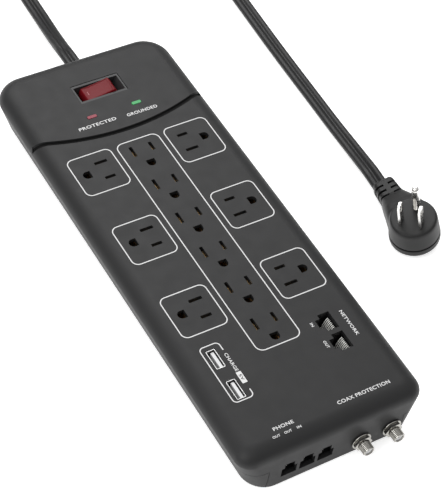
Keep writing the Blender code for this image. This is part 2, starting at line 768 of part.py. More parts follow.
def make_usb():
    for number, y in enumerate(usb_middles(), 1):
        half_x, half_y = USB_WIDE / 2, USB_LONG / 2
        build = new()
        top = HEIGHT + 0.0001
        add_box(build, (USB_X - half_x, y - half_y, USB_FLOOR_Z), (USB_X + half_x, y + half_y, top), 0.0006)
        shell = place(build, f"usb_shell_{number}", NICKEL)
        build = new()
        low = (USB_X - half_x + USB_WALL, y - half_y + USB_WALL, USB_FLOOR_Z + USB_WALL)
        add_box(build, low, (USB_X + half_x - USB_WALL, y + half_y - USB_WALL, HEIGHT + 0.002))
        smooth(join(shell, build))
        build = new()
        tongue_low = USB_X + half_x - USB_WALL - 0.0025
        low = (tongue_low, y - half_y + USB_WALL + 0.0006, USB_FLOOR_Z + USB_WALL + GAP)
        add_box(build, low, (tongue_low + 0.0019, y + half_y - USB_WALL - 0.0006, HEIGHT - 0.0011))
        place(build, f"usb_tongue_{number}", WHITE)
    build = new()
    top = USB_FLOOR_Z - GAP
    half_y = USB_PITCH / 2 + USB_LONG / 2 + 0.003
    add_box(build, (USB_X - 0.0078, USB_Y - half_y, top - BOARD), (USB_X + 0.0078, USB_Y + half_y, top))
    place(build, "usb_board", BOARD_GREEN)


def make_network():
    top = TOP_INSIDE_Z - GAP
    floor = top - NET_DEEP
    for word, middle_y in zip(("in", "out"), net_middles()):
        build = new()
        low_x = NET_X - NET_WIDE / 2 - NET_LATCH_WIDE - NET_WALL
        high_x = NET_X + NET_WIDE / 2 + NET_WALL
        half_y = NET_LONG / 2 + NET_WALL
        add_box(build, (low_x, middle_y - half_y, floor - NET_WALL), (high_x, middle_y + half_y, top))
        jack = place(build, f"network_jack_{word}", BLACK)
        mouth = stepped_outline(NET_LONG, NET_WIDE, NET_LATCH_LONG, NET_LATCH_WIDE)
        build = new()
        add_outline(build, [(NET_X + a, middle_y + b) for a, b in mouth], "Z", floor, top + 0.002)
        join(jack, build)
        make_network_contacts(word, middle_y, floor, top)
    build = new()
    board_top = floor - NET_WALL - GAP
    low = (NET_X - 0.0220, NET_Y - 0.0330, board_top - BOARD)
    add_box(build, low, (NET_X + 0.0060, NET_Y + NET_PITCH + 0.0025, board_top))
    place(build, "signal_board", BOARD_GREEN)


def make_network_contacts(word, middle_y, floor, top):
    """Eight sprung wires that slope from the mouth's +X edge down to a bar."""
    wall_x = NET_X + NET_WIDE / 2 - GAP
    build = new()
    half = NET_LONG / 2 - 0.0012
    add_box(build, (wall_x - 0.0012, middle_y - half, top - 0.0016), (wall_x, middle_y + half, top - 0.0004))
    comb = place(build, f"network_contacts_{word}", NICKEL)
    build = new()
    for i in range(8):
        y = middle_y + (i - 3.5) * 0.00118
        slope = [(wall_x - 0.0010, top - 0.0008), (wall_x - 0.0002, top - 0.0012)]
        slope += [(wall_x - 0.0036, floor + 0.0032), (wall_x - 0.0042, floor + 0.0036)]
        near = [build.verts.new((a, y - 0.00027, b)) for a, b in slope]
        far = [build.verts.new((a, y + 0.00027, b)) for a, b in slope]
        for k in range(4):
            build.faces.new((near[k], near[(k + 1) % 4], far[(k + 1) % 4], far[k]))
        build.faces.new(list(reversed(near)))
        build.faces.new(far)
    join(comb, build, "UNION")


def make_phone():
    front, back = END_INSIDE_Y + GAP, END_INSIDE_Y + GAP + PHONE_DEEP + PHONE_WALL
    middles = phone_middles()
    low_z = PHONE_LOW_Z - PHONE_WALL
    high_z = PHONE_LOW_Z + PHONE_HIGH + PHONE_LATCH_HIGH + PHONE_WALL
    half = PHONE_WIDE / 2 + PHONE_WALL
    build = new()
    add_box(build, (middles[0] - half, front, low_z), (middles[-1] + half, back, high_z))
    block = place(build, "phone_jacks", BLACK)
    build = new()
    for middle_x in middles:
        add_outline(build, phone_outline(middle_x), "Y", front - 0.002, front + PHONE_DEEP)
    join(block, build)
    for number, middle_x in enumerate(middles, 1):
        build = new()
        back_y = front + PHONE_DEEP - GAP
        low = (middle_x - 0.0030, back_y - 0.0012, PHONE_LOW_Z + GAP)
        add_box(build, low, (middle_x + 0.0030, back_y, PHONE_LOW_Z + 0.0040))
        comb = place(build, f"phone_contacts_{number}", BRASS_METAL)
        build = new()
        for i in range(4):
            x = middle_x + (i - 1.5) * 0.00127
            low = (x - 0.00025, front + 0.0012, PHONE_LOW_Z + 0.0014)
            add_box(build, low, (x + 0.00025, back_y - 0.0006, PHONE_LOW_Z + 0.0019))
        join(comb, build, "UNION")


def make_coax():
    for number, x in enumerate(COAX_X, 1):
        start = -HALF_LENGTH - COAX_OUT
        length = COAX_OUT + WALL + COAX_IN
        build = new()
        add_cylinder(build, (x, start, COAX_Z), COAX_RADIUS, length, "Y", 24)
        barrel = place(build, f"coax_barrel_{number}", NICKEL)
        build = new()
        add_cylinder(build, (x, start - 0.001, COAX_Z), COAX_RADIUS * 0.66, 0.0022, "Y", 16)
        smooth(join(barrel, build))
        build = new()
        nut_back = -HALF_LENGTH - GAP - WASHER_THICK
        add_cylinder(build, (x, nut_back, COAX_Z), WASHER_RADIUS, WASHER_THICK, "Y", 24)
        nut = place(build, f"coax_nut_{number}", NICKEL)
        build = new()
        add_cylinder(build, (x, nut_back - NUT_THICK, COAX_Z), NUT_RADIUS, NUT_THICK + WASHER_THICK / 2, "Y", 6)
        join(nut, build, "UNION")
        build = new()
        reach = NUT_THICK + WASHER_THICK + 0.002
        add_cylinder(build, (x, nut_back - NUT_THICK - 0.001, COAX_Z), COAX_RADIUS + GAP, reach, "Y", 24)
        smooth(join(nut, build))


# ----------------------------------------------------------------------- cord
def make_gland():
    """The strain relief in the back wall: inner flange, neck and tapered sleeve."""
    half_x, half_z = CORD_WIDE / 2 + 0.0008, CORD_THICK / 2 + 0.0008
    inside = WALL + GAP
    stations = [
        (half_x + 0.0022, half_z + 0.0018, -inside - GLAND_IN),
        (half_x + 0.0022, half_z + 0.0018, -inside),
        (half_x, half_z, -inside),
        (half_x, half_z, GAP),
        (half_x + 0.0012, half_z + 0.0010, GAP),
        (half_x + 0.0011, half_z + 0.0009, GLAND_OUT - 0.0012),
        (half_x - 0.0002, half_z - 0.0002, GLAND_OUT),
    ]
    turn = Matrix.Translation((GLAND_X, HALF_LENGTH, GLAND_Z)) @ Matrix.Rotation(-math.pi / 2, 4, "X")
    build = new()
    add_loft(build, [(a, b, min(a, b) * 0.9, y) for a, b, y in stations], 3, turn)
    smooth(place(build, "cord_gland", RUBBER))


def strip_route():
    """The cord from the strip's gland to the side of the coil."""
    x, y = COIL_CENTRE
    flat, edge = CORD_THICK / 2, COIL_LIFT + CORD_WIDE / 2
    return [
        (GLAND_X, HALF_LENGTH + GLAND_OUT + GAP, GLAND_Z),
        (GLAND_X, HALF_LENGTH + GLAND_OUT + 0.0080, GLAND_Z),
        (GLAND_X + 0.0005, HALF_LENGTH + 0.0240, 0.0158),
        (0.0064, HALF_LENGTH + 0.0340, 0.0121),
        (0.0082, HALF_LENGTH + 0.046, 0.0085),
        (0.0100, HALF_LENGTH + 0.059, 0.0054),
        (0.0113, HALF_LENGTH + 0.072, 0.0034),
        (0.0121, HALF_LENGTH + 0.087, flat + 0.0002),
        (0.0126, HALF_LENGTH + 0.105, flat + 0.0003),
        (0.0131, HALF_LENGTH + 0.128, 0.0036),
        (0.0137, HALF_LENGTH + 0.151, 0.0054),
        (x - COIL_REACH, y - 0.018, edge),
        (x - COIL_REACH, y, edge),
    ]


def plug_pose():
    """Puts the plug's own frame, +Y towards its cord and +Z out of its face, on the floor."""
    x, y = PLUG_CENTRE
    lift = (PLUG_RADIUS - 0.0012) * math.sin(math.radians(PLUG_LEAN)) + 0.0002
    swing = Matrix.Rotation(math.radians(-PLUG_SWING), 4, "Z")
    return Matrix.Translation((x, y, lift)) @ swing @ Matrix.Rotation(math.radians(-PLUG_LEAN), 4, "Y")


def plug_route():
    """The cord from the top of the coil to the plug's strain relief."""
    x, y = COIL_CENTRE
    flat = CORD_THICK / 2
    top = COIL_LIFT + CORD_WIDE + 2 * GAP + flat
    pose = plug_pose()
    end = pose @ Vector((PLUG_CORD_X, PLUG_NECK_END + GAP, PLUG_CORD_Z))
    before = pose @ Vector((PLUG_CORD_X, PLUG_NECK_END + 0.007, PLUG_CORD_Z))
    earlier = pose @ Vector((PLUG_CORD_X, PLUG_NECK_END + 0.014, PLUG_CORD_Z))
    return [
        (x + 0.0560, y, top),
        (x + 0.0590, y - 0.014, top),
        (x + 0.0615, y - 0.032, top - 0.0003),
        (0.1435, y - 0.050, 0.0112),
        (0.1447, y - 0.070, 0.0078),
        (0.1452, y - 0.092, 0.0048),
        (0.1454, HALF_LENGTH + 0.071, 0.0029),
        (0.1452, HALF_LENGTH + 0.0473, flat + 0.0002),
        (0.1447, HALF_LENGTH + 0.033, flat + 0.0002),
        (0.1422, 0.1367, flat + 0.0002),
        (0.1406, 0.0857, flat + 0.0002),
        (0.1397, 0.0600, 0.0026),
        (0.1384, 0.0361, 0.0042),
        tuple(earlier),
        tuple(before),
        tuple(end),
    ]


def through(route, gap):
    """Points about a gap apart on a smooth curve through a route's own points."""
    points = [Vector(p) for p in route]
    ends = [points[0] * 2 - points[1]] + points + [points[-1] * 2 - points[-2]]
    fine = []
    for a, b, c, d in zip(ends, ends[1:], ends[2:], ends[3:]):
        for step in range(24):
            t = step / 24
            ahead, back = (c - a) * 0.5, (d - b) * 0.5
            h = t * t * (3 - 2 * t)
            curve = b * (1 - h) + c * h + ahead * (t**3 - 2 * t * t + t) + back * (t**3 - t * t)
            fine.append(curve)
    fine.append(points[-1])
    lengths = [0.0]
    for a, b in zip(fine, fine[1:]):
        lengths.append(lengths[-1] + (b - a).length)
    count = max(2, round(lengths[-1] / gap))
    found = []
    for i in range(count + 1):
        want = lengths[-1] * i / count
        k = next((k for k in range(1, len(fine)) if lengths[k] >= want - 1e-9), len(fine) - 1)
        share = (want - lengths[k - 1]) / (lengths[k] - lengths[k - 1])
        found.append(fine[k - 1].lerp(fine[k], share))
    return found


def make_cord_run(name, route, twist):
    """A flat length of cord; twist gives its turn about itself, 0 lying flat."""
    points = through(route, CORD_WIDE * 1.2)
    curve = bpy.data.curves.new(name, "CURVE")
    curve.dimensions = "3D"
    curve.twist_mode = "Z_UP"
    spline = curve.splines.new("POLY")
    spline.points.add(len(points) - 1)
    for i, (knot, point) in enumerate(zip(spline.points, points)):
        knot.co = (*point, 1.0)
        knot.tilt = math.pi / 2 * (1 - twist(i / (len(points) - 1)))
    curve.extrude = (CORD_WIDE - CORD_THICK) / 2
    curve.bevel_depth = CORD_THICK / 2
    curve.bevel_resolution = 2
    curve.use_fill_caps = True
    curve.materials.append(RUBBER)
    made = bpy.data.objects.new(name, curve)
    parts.objects.link(made)
    return made


def ease(t, start, stop):
    """0 before start, 1 after stop, and a smooth step between them."""
    t = min(1.0, max(0.0, (t - start) / (stop - start)))
    return t * t * (3 - 2 * t)


def make_cord():
    make_cord_run("cord_strip_end", strip_route(), lambda t: ease(t, 0.50, 0.92))
    make_cord_run("cord_plug_end", plug_route(), lambda t: 0.0)
    x, y = COIL_CENTRE
    outer = COIL_REACH - CORD_THICK / 2 - GAP
    inner = outer - COIL_TURNS * COIL_STEP
    high = COIL_LIFT + CORD_WIDE
    section = [(outer, high), (outer, COIL_LIFT), (inner, COIL_LIFT), (inner, high)]
    mesh = bpy.data.meshes.new("cord_coil")
    build = new()
    spots = [build.verts.new((r, 0, z)) for r, z in section]
    for a, b in zip(spots, spots[1:] + spots[:1]):
        build.edges.new((a, b))
    build.to_mesh(mesh)
    build.free()
    coil = bpy.data.objects.new("cord_coil", mesh)
    parts.objects.link(coil)
    mesh.materials.append(RUBBER)
    coil.location = (x, y, 0)
    spin = coil.modifiers.new("turn", "SCREW")
    spin.steps = 40
    spin.render_steps = 40
    spin.use_merge_vertices = True
    spin.merge_threshold = 0.0001
    make_tie(x, y, inner, outer, high)


def make_tie(x, y, inner, outer, high):
    """A strap round the coil on its far side."""
    build = new()
    skin = GAP + TIE_THICK
    half = TIE_WIDE / 2
    near, far = y + inner - 0.0012, y + outer
    add_box(build, (x - half, near - skin, 0.0), (x + half, far + skin, high + skin), 0.0)
    tie = place(build, "coil_tie", BLACK)
    build = new()
    low = COIL_LIFT - GAP
    add_box(build, (x - half - 0.001, near - GAP, low), (x + half + 0.001, far + GAP, high + GAP))
    join(tie, build)


# ----------------------------------------------------------------------- plug
def neck_ring(along, half_x, high):
    """One rounded section across the plug's neck, standing on its back."""
    corner = min(half_x, high / 2) * 0.62
    return [Vector((x, along, high / 2 + z)) for x, z in rounded_ring(half_x, high / 2, corner, 3)]


def relief_slot(side, near):
    """A slot across half of the neck that turns down its side."""
    half, high = PLUG_NECK_WIDE / 2, PLUG_NECK_HIGH
    inner, deep = 0.0014, 0.0022
    spots = [(inner, high - deep), (half - deep + 0.0006, high - deep), (half - deep + 0.0006, 0.0026)]
    spots += [(half + 0.006, 0.0026), (half + 0.006, high + 0.008), (inner, high + 0.008)]
    outline = [(side * x, z) for x, z in spots]
    build = new()
    add_outline(build, outline, "Y", near - 0.0015, near)
    return build


def make_plug():
    """The body stands on its back in its own frame; blades keep to a frame turned from it."""
    pose = plug_pose()
    turned = pose @ Matrix.Rotation(math.radians(-PLUG_TURN), 4, "Z")
    profile = [
        (PLUG_RADIUS - 0.0034, PLUG_HIGH),
        (PLUG_RADIUS - 0.0022, PLUG_HIGH - 0.0007),
        (PLUG_RADIUS - 0.0012, PLUG_HIGH - 0.0050),
        (PLUG_RADIUS - 0.0005, PLUG_RIM + 0.0010),
        (PLUG_RADIUS - 0.0014, PLUG_RIM + 0.0006),
        (PLUG_RADIUS - 0.0014, PLUG_RIM),
        (PLUG_RADIUS - 0.0006, PLUG_RIM - 0.0002),
        (PLUG_RADIUS, PLUG_RIM - 0.0010),
        (PLUG_RADIUS, 0.0012),
        (PLUG_RADIUS - 0.0012, 0.0),
    ]
    build = new()
    spots = [build.verts.new((0, 0, PLUG_HIGH))]
    spots += [build.verts.new((r, 0, z)) for r, z in profile]
    spots.append(build.verts.new((0, 0, 0)))
    for a, b in zip(spots, spots[1:]):
        build.edges.new((a, b))
    mesh = bpy.data.meshes.new("plug_body")
    build.to_mesh(mesh)
    build.free()
    body = bpy.data.objects.new("plug_body", mesh)
    parts.objects.link(body)
    mesh.materials.append(RUBBER)
    body.matrix_basis = pose
    spin = body.modifiers.new("turn", "SCREW")
    spin.steps = 40
    spin.render_steps = 40
    spin.use_merge_vertices = True
    spin.merge_threshold = 0.0001

    half, high = PLUG_NECK_WIDE / 2, PLUG_NECK_HIGH
    top = PLUG_HIGH - 0.0004
    stations = [
        (0.0000, PLUG_RADIUS - 0.0030, top),
        (0.0080, PLUG_RADIUS - 0.0040, top - 0.0004),
        (0.0180, (PLUG_RADIUS + half) / 2 - 0.0008, top * 0.62 + high * 0.38),
        (0.0250, half + 0.0010, top * 0.2 + high * 0.8),
        (0.0290, half, high),
        (PLUG_NECK_END - 0.0012, half - 0.0004, high - 0.0004),
        (PLUG_NECK_END, half - 0.0012, high - 0.0014),
    ]
    build = new()
    bridge(build, [neck_ring(*station) for station in stations])
    join(body, build, "UNION")
    for i in range(3):
        for side in (-1, 1):
            join(body, relief_slot(side, PLUG_NECK_END - 0.0042 - i * 0.0040))
    low_z = PLUG_HIGH - SOCKET_DEEP
    build = new()
    for side in (-1, 1):
        reach_x, reach_y = BLADE_THICK / 2 + GAP, BLADE_WIDE / 2 + GAP
        middle = side * BLADE_SPACING / 2
        low = (middle - reach_x, -BLADE_SHIFT - reach_y, low_z)
        add_box(build, low, (middle + reach_x, -BLADE_SHIFT + reach_y, PLUG_HIGH + 0.002))
    middle_y = GROUND_OFFSET - BLADE_SHIFT
    add_cylinder(build, (0, middle_y, low_z), PIN_ROUND + GAP, SOCKET_DEEP + 0.002, sides=16)
    bmesh.ops.rotate(build, matrix=Matrix.Rotation(math.radians(-PLUG_TURN), 3, "Z"), verts=build.verts)
    smooth(join(body, build))

    tip = PLUG_HIGH + BLADE_LONG
    wide, half = BLADE_WIDE / 2, BLADE_THICK / 2
    low_z += GAP
    for word, side in (("neutral", -1), ("line", 1)):
        outline = [(-wide, low_z), (wide, low_z), (wide, tip - 0.0018), (wide - 0.0018, tip)]
        outline += [(-wide + 0.0018, tip), (-wide, tip - 0.0018)]
        outline = [(a - BLADE_SHIFT, b) for a, b in outline]
        middle = side * BLADE_SPACING / 2
        build = new()
        add_outline(build, outline, "X", middle - half, middle + half)
        blade = place(build, f"plug_blade_{word}", NICKEL)
        blade.matrix_basis = turned
        build = new()
        add_cylinder(build, (middle - 0.002, -BLADE_SHIFT, tip - 0.0052), BLADE_HOLE, 0.004, "X", 12)
        join(blade, build)
    build = new()
    shoulder = PLUG_HIGH + PIN_LONG - PIN_ROUND
    add_cylinder(build, (0, middle_y, low_z), PIN_ROUND, shoulder - low_z, sides=16)
    pin = place(build, "plug_ground_pin", NICKEL)
    pin.matrix_basis = turned
    build = new()
    end = Matrix.Translation((0, middle_y, shoulder))
    bmesh.ops.create_uvsphere(build, u_segments=16, v_segments=8, radius=PIN_ROUND * 0.995, matrix=end)
    join(pin, build, "UNION")
    build = new()
    low = (-0.0011, middle_y - PIN_ROUND - 0.001, PLUG_HIGH + 0.0006)
    add_box(build, low, (0.0011, middle_y + 0.0012, shoulder - 0.0022))
    smooth(join(pin, build))


make_cover()
make_base()
make_screws()
make_switch()
make_lights()
make_rails()
make_carriers()
make_surge_board()
make_usb()
make_network()
make_phone()
make_coax()
make_gland()
make_cord()
make_plug()
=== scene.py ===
# %% [markdown]
# # A surge protector power strip
# The strip is a two-part plastic box with outlets in its top, jacks at one end and a rocker switch at the other.
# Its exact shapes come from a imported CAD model. This file keeps that model fixed and gives it its looks:
# finer skins where the CAD mesh is coarse, a real cord, printed marks, and a material for every piece.

# %% Load the fixed frame
import math

import bmesh
import bpy
from mathutils import Matrix, Vector


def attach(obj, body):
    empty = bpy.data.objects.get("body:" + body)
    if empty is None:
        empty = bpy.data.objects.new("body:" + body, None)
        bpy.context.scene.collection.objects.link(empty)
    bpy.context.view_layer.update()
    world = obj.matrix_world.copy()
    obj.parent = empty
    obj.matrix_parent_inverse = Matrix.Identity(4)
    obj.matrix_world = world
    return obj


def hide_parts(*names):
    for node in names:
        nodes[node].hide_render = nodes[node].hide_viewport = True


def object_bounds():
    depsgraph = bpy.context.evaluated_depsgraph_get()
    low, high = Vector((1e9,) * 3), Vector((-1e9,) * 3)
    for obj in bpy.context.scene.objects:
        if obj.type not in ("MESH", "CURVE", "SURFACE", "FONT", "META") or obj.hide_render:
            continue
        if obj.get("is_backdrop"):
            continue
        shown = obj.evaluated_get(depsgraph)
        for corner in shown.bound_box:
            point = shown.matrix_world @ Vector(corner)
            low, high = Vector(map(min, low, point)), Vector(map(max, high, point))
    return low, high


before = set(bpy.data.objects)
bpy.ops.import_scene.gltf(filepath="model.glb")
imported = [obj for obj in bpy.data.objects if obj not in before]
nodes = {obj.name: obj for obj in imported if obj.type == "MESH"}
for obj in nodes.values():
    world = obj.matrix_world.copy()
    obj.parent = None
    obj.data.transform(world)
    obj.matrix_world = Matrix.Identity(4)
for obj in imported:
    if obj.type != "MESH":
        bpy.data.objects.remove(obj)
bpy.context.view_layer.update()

MM = 0.001

# %% [markdown]
# ## Camera
# A long lens looks down the strip from its jack end, a little over half way up from the floor. A camera's own
# axes are its right, its up and its back, so three vectors and a place make its matrix. A small roll is turned
# into the first two.

# %% Camera
AZIMUTH, ELEVATION, ROLL = math.radians(-36.413), math.radians(48.950), math.radians(8.741)
AIM, AWAY, LENS = Vector((6.04, -19.0, 35.0)) * MM, 1.01363, 129.3
back = Vector((
    math.sin(AZIMUTH) * math.cos(ELEVATION),
    -math.cos(AZIMUTH) * math.cos(ELEVATION),
    math.sin(ELEVATION),
))
level = Vector((math.cos(AZIMUTH), math.sin(AZIMUTH), 0))
steep = back.cross(level)
right = level * math.cos(ROLL) + steep * math.sin(ROLL)
up = steep * math.cos(ROLL) - level * math.sin(ROLL)
camera = bpy.data.objects.new("camera", bpy.data.cameras.new("camera"))
bpy.context.scene.collection.objects.link(camera)
turn = Matrix((right, up, back)).transposed().to_4x4()
camera.matrix_world = Matrix.Translation(AIM + back * AWAY) @ turn
camera.data.lens = LENS
camera.data.clip_end = 20
bpy.context.scene.camera = camera
print("camera at", [round(v, 3) for v in camera.location])

# %% [markdown]
# ## Meshes in code
# Most pieces are skins over rings of points: a casing, a plug's neck, a cord. One helper bridges the rings and
# another turns a built mesh into an object. Each object stays at the origin and its place is in its points,
# so a pattern on Object coordinates doesn't slide.

# %% Helpers that make and cut meshes
def finish_mesh(build, name, smooth=35.0):
    """An object from a bmesh, facing out, smooth except at its real edges."""
    bmesh.ops.remove_doubles(build, verts=build.verts, dist=1e-7)
    bmesh.ops.recalc_face_normals(build, faces=build.faces)
    mesh = bpy.data.meshes.new(name)
    build.to_mesh(mesh)
    build.free()
    piece = bpy.data.objects.new(name, mesh)
    bpy.context.scene.collection.objects.link(piece)
    if smooth:
        mesh.shade_smooth()
        mesh.set_sharp_from_angle(angle=math.radians(smooth))
    return piece


def bridge(build, rings, closed=False):
    """A skin over rings of points: capped at its ends, or closed round on itself."""
    rows = [[build.verts.new(point) for point in ring] for ring in rings]
    pairs = list(zip(rows, rows[1:])) + ([(rows[-1], rows[0])] if closed else [])
    for near, far in pairs:
        for i in range(len(near)):
            j = (i + 1) % len(near)
            build.faces.new((near[i], near[j], far[j], far[i]))
    if not closed:
        build.faces.new(list(reversed(rows[0])))
        build.faces.new(rows[-1])


def rounded(half_x, half_y, back, steps, front=None):
    """The points of a rounded rectangle, anticlockwise. front gives its -Y corners, left and right."""
    points = []
    for quarter, (side_x, side_y) in enumerate(((1, 1), (-1, 1), (-1, -1), (1, -1))):
        corner = back if side_y > 0 or front is None else front[side_x > 0]
        for step in range(steps + 1):
            angle = math.pi / 2 * (quarter + step / steps)
            x = side_x * (half_x - corner) + corner * math.cos(angle)
            points.append((x, side_y * (half_y - corner) + corner * math.sin(angle)))
    return points


def prism(build, outline, axis, start, stop):
    """A flat outline pushed along an axis."""
    order = {"X": lambda a, b, c: (c, a, b), "Y": lambda a, b, c: (a, c, b), "Z": lambda a, b, c: (a, b, c)}
    bridge(build, [[Vector(order[axis](a, b, c)) for a, b in outline] for c in (start, stop)])


def box(build, low, high):
    corners = [(low[0], low[1]), (high[0], low[1]), (high[0], high[1]), (low[0], high[1])]
    prism(build, corners, "Z", low[2], high[2])


def round_bar(build, start, radius, length, axis="Z", sides=32):
    ring = [(radius * math.cos(t), radius * math.sin(t)) for t in (math.tau * i / sides for i in range(sides))]
    a, b, c = {"Z": (0, 1, 2), "Y": (0, 2, 1), "X": (1, 2, 0)}[axis]
    prism(build, [(start[a] + u, start[b] + v) for u, v in ring], axis, start[c], start[c] + length)


def combine(piece, build, how="DIFFERENCE"):
    """Cuts what build holds from a piece, or unites them, and keeps the result as a plain mesh."""
    other = finish_mesh(build, "tool", smooth=0)
    step = piece.modifiers.new(how, "BOOLEAN")
    step.operation = how
    step.object = other
    settle(piece)
    bpy.data.objects.remove(other)
    return piece


def cut_box(piece, low, high, how="DIFFERENCE"):
    build = bmesh.new()
    box(build, low, high)
    combine(piece, build, how)


def settle(piece, smooth=35.0):
    """Bakes a piece's modifiers into its mesh."""
    graph = bpy.context.evaluated_depsgraph_get()
    mesh = bpy.data.meshes.new_from_object(piece.evaluated_get(graph))
    piece.modifiers.clear()
    piece.data = mesh
    mesh.shade_smooth()
    mesh.set_sharp_from_angle(angle=math.radians(smooth))
    return piece


# %% [markdown]
# ## The cord
# The cord is flat, with a valley along its middle, and about 1.74 m long. It leaves the strip's end, runs down to the
# floor, and its spare length lies in a neat coil out of view. The last stretch comes back past the strip to
# the plug. A smooth curve through given points gives the route. The section is swept along it, lying flat on the
# floor, standing on its edge in the coil, as a flat cord coils easily only that way.

# %% The cord's route
CORD_WIDE, CORD_THICK, GAP = 10.2 * MM, 4.4 * MM, 0.3 * MM
EXIT = Vector((4.2, 165.8, 17.2)) * MM
COIL_X, COIL_Y = 80 * MM, 345 * MM
COIL_REACH, COIL_LIFT, COIL_STEP = 66 * MM, 1.2 * MM, 4.6 * MM
PLUG_AT = Vector((134.0, -41.5, 0.0)) * MM
PLUG_LEAN, PLUG_SWING, PLUG_TURN = math.radians(15), math.radians(4), math.radians(45)
PLUG_RADIUS, NECK_END = 15.9 * MM, 40.5 * MM

lift = (PLUG_RADIUS - 1.2 * MM) * math.sin(PLUG_LEAN) + 0.2 * MM
plug_pose = (
    Matrix.Translation(PLUG_AT + Vector((0, 0, lift)))
    @ Matrix.Rotation(-PLUG_SWING, 4, "Z")
    @ Matrix.Rotation(-PLUG_LEAN, 4, "Y")
)
neck_points = [plug_pose @ Vector((-1.3 * MM, NECK_END + d * MM, 5 * MM)) for d in (14, 7, 0.3, -3)]
leaving = [
    (4.2, 163.5, 17.2), (4.2, 173.5, 17.2), (4.7, 181, 15.8), (6.4, 191, 12.1), (8.2, 203, 8.5), (10, 216, 5.4),
    (11.3, 229, 3.4), (12.1, 244, 2.4), (12.6, 262, 2.5), (13.1, 285, 3.6), (13.7, 308, 5.4), (14, 327, 6.3),
]
coil_middle = COIL_LIFT + CORD_WIDE / 2
coil_top = COIL_LIFT + CORD_WIDE + 2 * GAP + CORD_THICK / 2
arriving = [
    (139, 331, 14.2), (141.5, 313, 13.9), (143.5, 295, 11.2), (144.7, 275, 7.8), (145.2, 253, 4.8),
    (145.4, 228, 2.9), (145.2, 204.3, 2.4), (144.7, 190, 2.4), (142.2, 136.7, 2.4), (140.6, 85.7, 2.4),
    (139.7, 60, 2.6), (138.4, 36.1, 4.2),
]


def coil_point(turns):
    """Where the cord is after so many turns of the coil, clockwise from its left side."""
    angle = math.pi - math.tau * turns
    radius = 61.1 * MM - (turns - 0.25) * COIL_STEP
    if turns < 0.25:
        part = turns / 0.25
        radius = COIL_REACH + (61.1 * MM - COIL_REACH) * part * part * (3 - 2 * part)
    rise = min(1.0, max(0.0, (turns - 3.2) / 0.3))
    rise = rise * rise * (3 - 2 * rise)
    radius += (56 * MM - radius) * rise
    height = coil_middle + (coil_top - coil_middle) * rise
    return Vector((COIL_X + radius * math.cos(angle), COIL_Y + radius * math.sin(angle), height))


def smooth_through(points, spacing):
    """Evenly spaced points on a smooth curve through the given ones."""
    ends = [points[0] * 2 - points[1]] + points + [points[-1] * 2 - points[-2]]
    fine = []
    for a, b, c, d in zip(ends, ends[1:], ends[2:], ends[3:]):
        for step in range(12):
            t = step / 12
            h = t * t * (3 - 2 * t)
            fine.append(b * (1 - h) + c * h + (c - a) * 0.5 * (t**3 - 2 * t * t + t) + (d - b) * 0.5 * (t**3 - t * t))
    fine.append(points[-1])
    total = [0.0]
    for a, b in zip(fine, fine[1:]):
        total.append(total[-1] + (b - a).length)
    count, found, k = round(total[-1] / spacing), [], 1
    for i in range(count + 1):
        want = total[-1] * i / count
        while k < len(fine) - 1 and total[k] < want:
            k += 1
        found.append(fine[k - 1].lerp(fine[k], (want - total[k - 1]) / (total[k] - total[k - 1])))
    return found, total[-1]


COIL_MARKS = 56
route = [Vector(p) * MM for p in leaving]
route += [coil_point(3.5 * i / COIL_MARKS) for i in range(COIL_MARKS + 1)]
route += [Vector(p) * MM for p in arriving] + neck_points
cord_line, cord_length = smooth_through(route, 4 * MM)
print("cord route", round(cord_length, 3), "m in", len(cord_line), "points")


# %% Sweep the flat section along the route
def ease(value, start, stop):
    part = min(1.0, max(0.0, (value - start) / (stop - start)))
    return part * part * (3 - 2 * part)


HALF_SECTION = [
    (5.10, 0.0), (5.02, 0.70), (4.72, 1.32), (4.20, 1.82), (3.50, 2.11), (2.75, 2.20), (2.05, 2.12),
    (1.45, 1.84), (1.00, 1.46), (0.62, 1.17), (0.28, 1.02),
]
top_half = HALF_SECTION + [(0.0, 0.98)] + [(-x, z) for x, z in reversed(HALF_SECTION)]
SECTION = top_half + [(x, -z) for x, z in reversed(top_half[1:-1])]


def sweep_flat(name, line, section, stand):
    """A section swept along a line; stand gives its lean at each point, 0 flat and 1 on edge."""
    build = bmesh.new()
    rings = []
    for i, point in enumerate(line):
        ahead = (line[min(i + 1, len(line) - 1)] - line[max(i - 1, 0)]).normalized()
        side = ahead.cross(Vector((0, 0, 1))).normalized()
        above = side.cross(ahead)
        lean = stand(i, point) * math.pi / 2
        wide = side * math.cos(lean) + above * math.sin(lean)
        thick = above * math.cos(lean) - side * math.sin(lean)
        rings.append([point + wide * (x * MM) + thick * (z * MM) for x, z in section])
    bridge(build, rings)
    return finish_mesh(build, name, smooth=50)


plug_side = len(cord_line) - 60
halfway = len(cord_line) // 2


def cord_stand(i, point):
    if i < halfway:
        return ease(point.y, 268 * MM, 322 * MM) if point.x < 16 * MM and i < 60 else 1.0
    start = next(k for k in range(halfway, len(cord_line)) if cord_line[k].z > coil_middle + 0.4 * MM)
    leaned = 1 - ease(i, start, start + 16)
    return leaned if i < plug_side + 35 else -ease(i, plug_side + 38, plug_side + 58) * 15 / 90


cord = sweep_flat("flat_cord", cord_line, SECTION, cord_stand)

# %% [markdown]
# The strain relief is a short moulded collar that the cord leaves through. The tie is a hook-and-loop strap,
# a thin band that follows the coil's outline at its far side.

# %% Collar and tie
def collar_ring(along, half_x, half_z):
    outline = rounded(half_x, half_z, min(half_x, half_z) * 0.92, 8)
    return [Vector((EXIT.x + x, along, EXIT.z + z)) for x, z in outline]


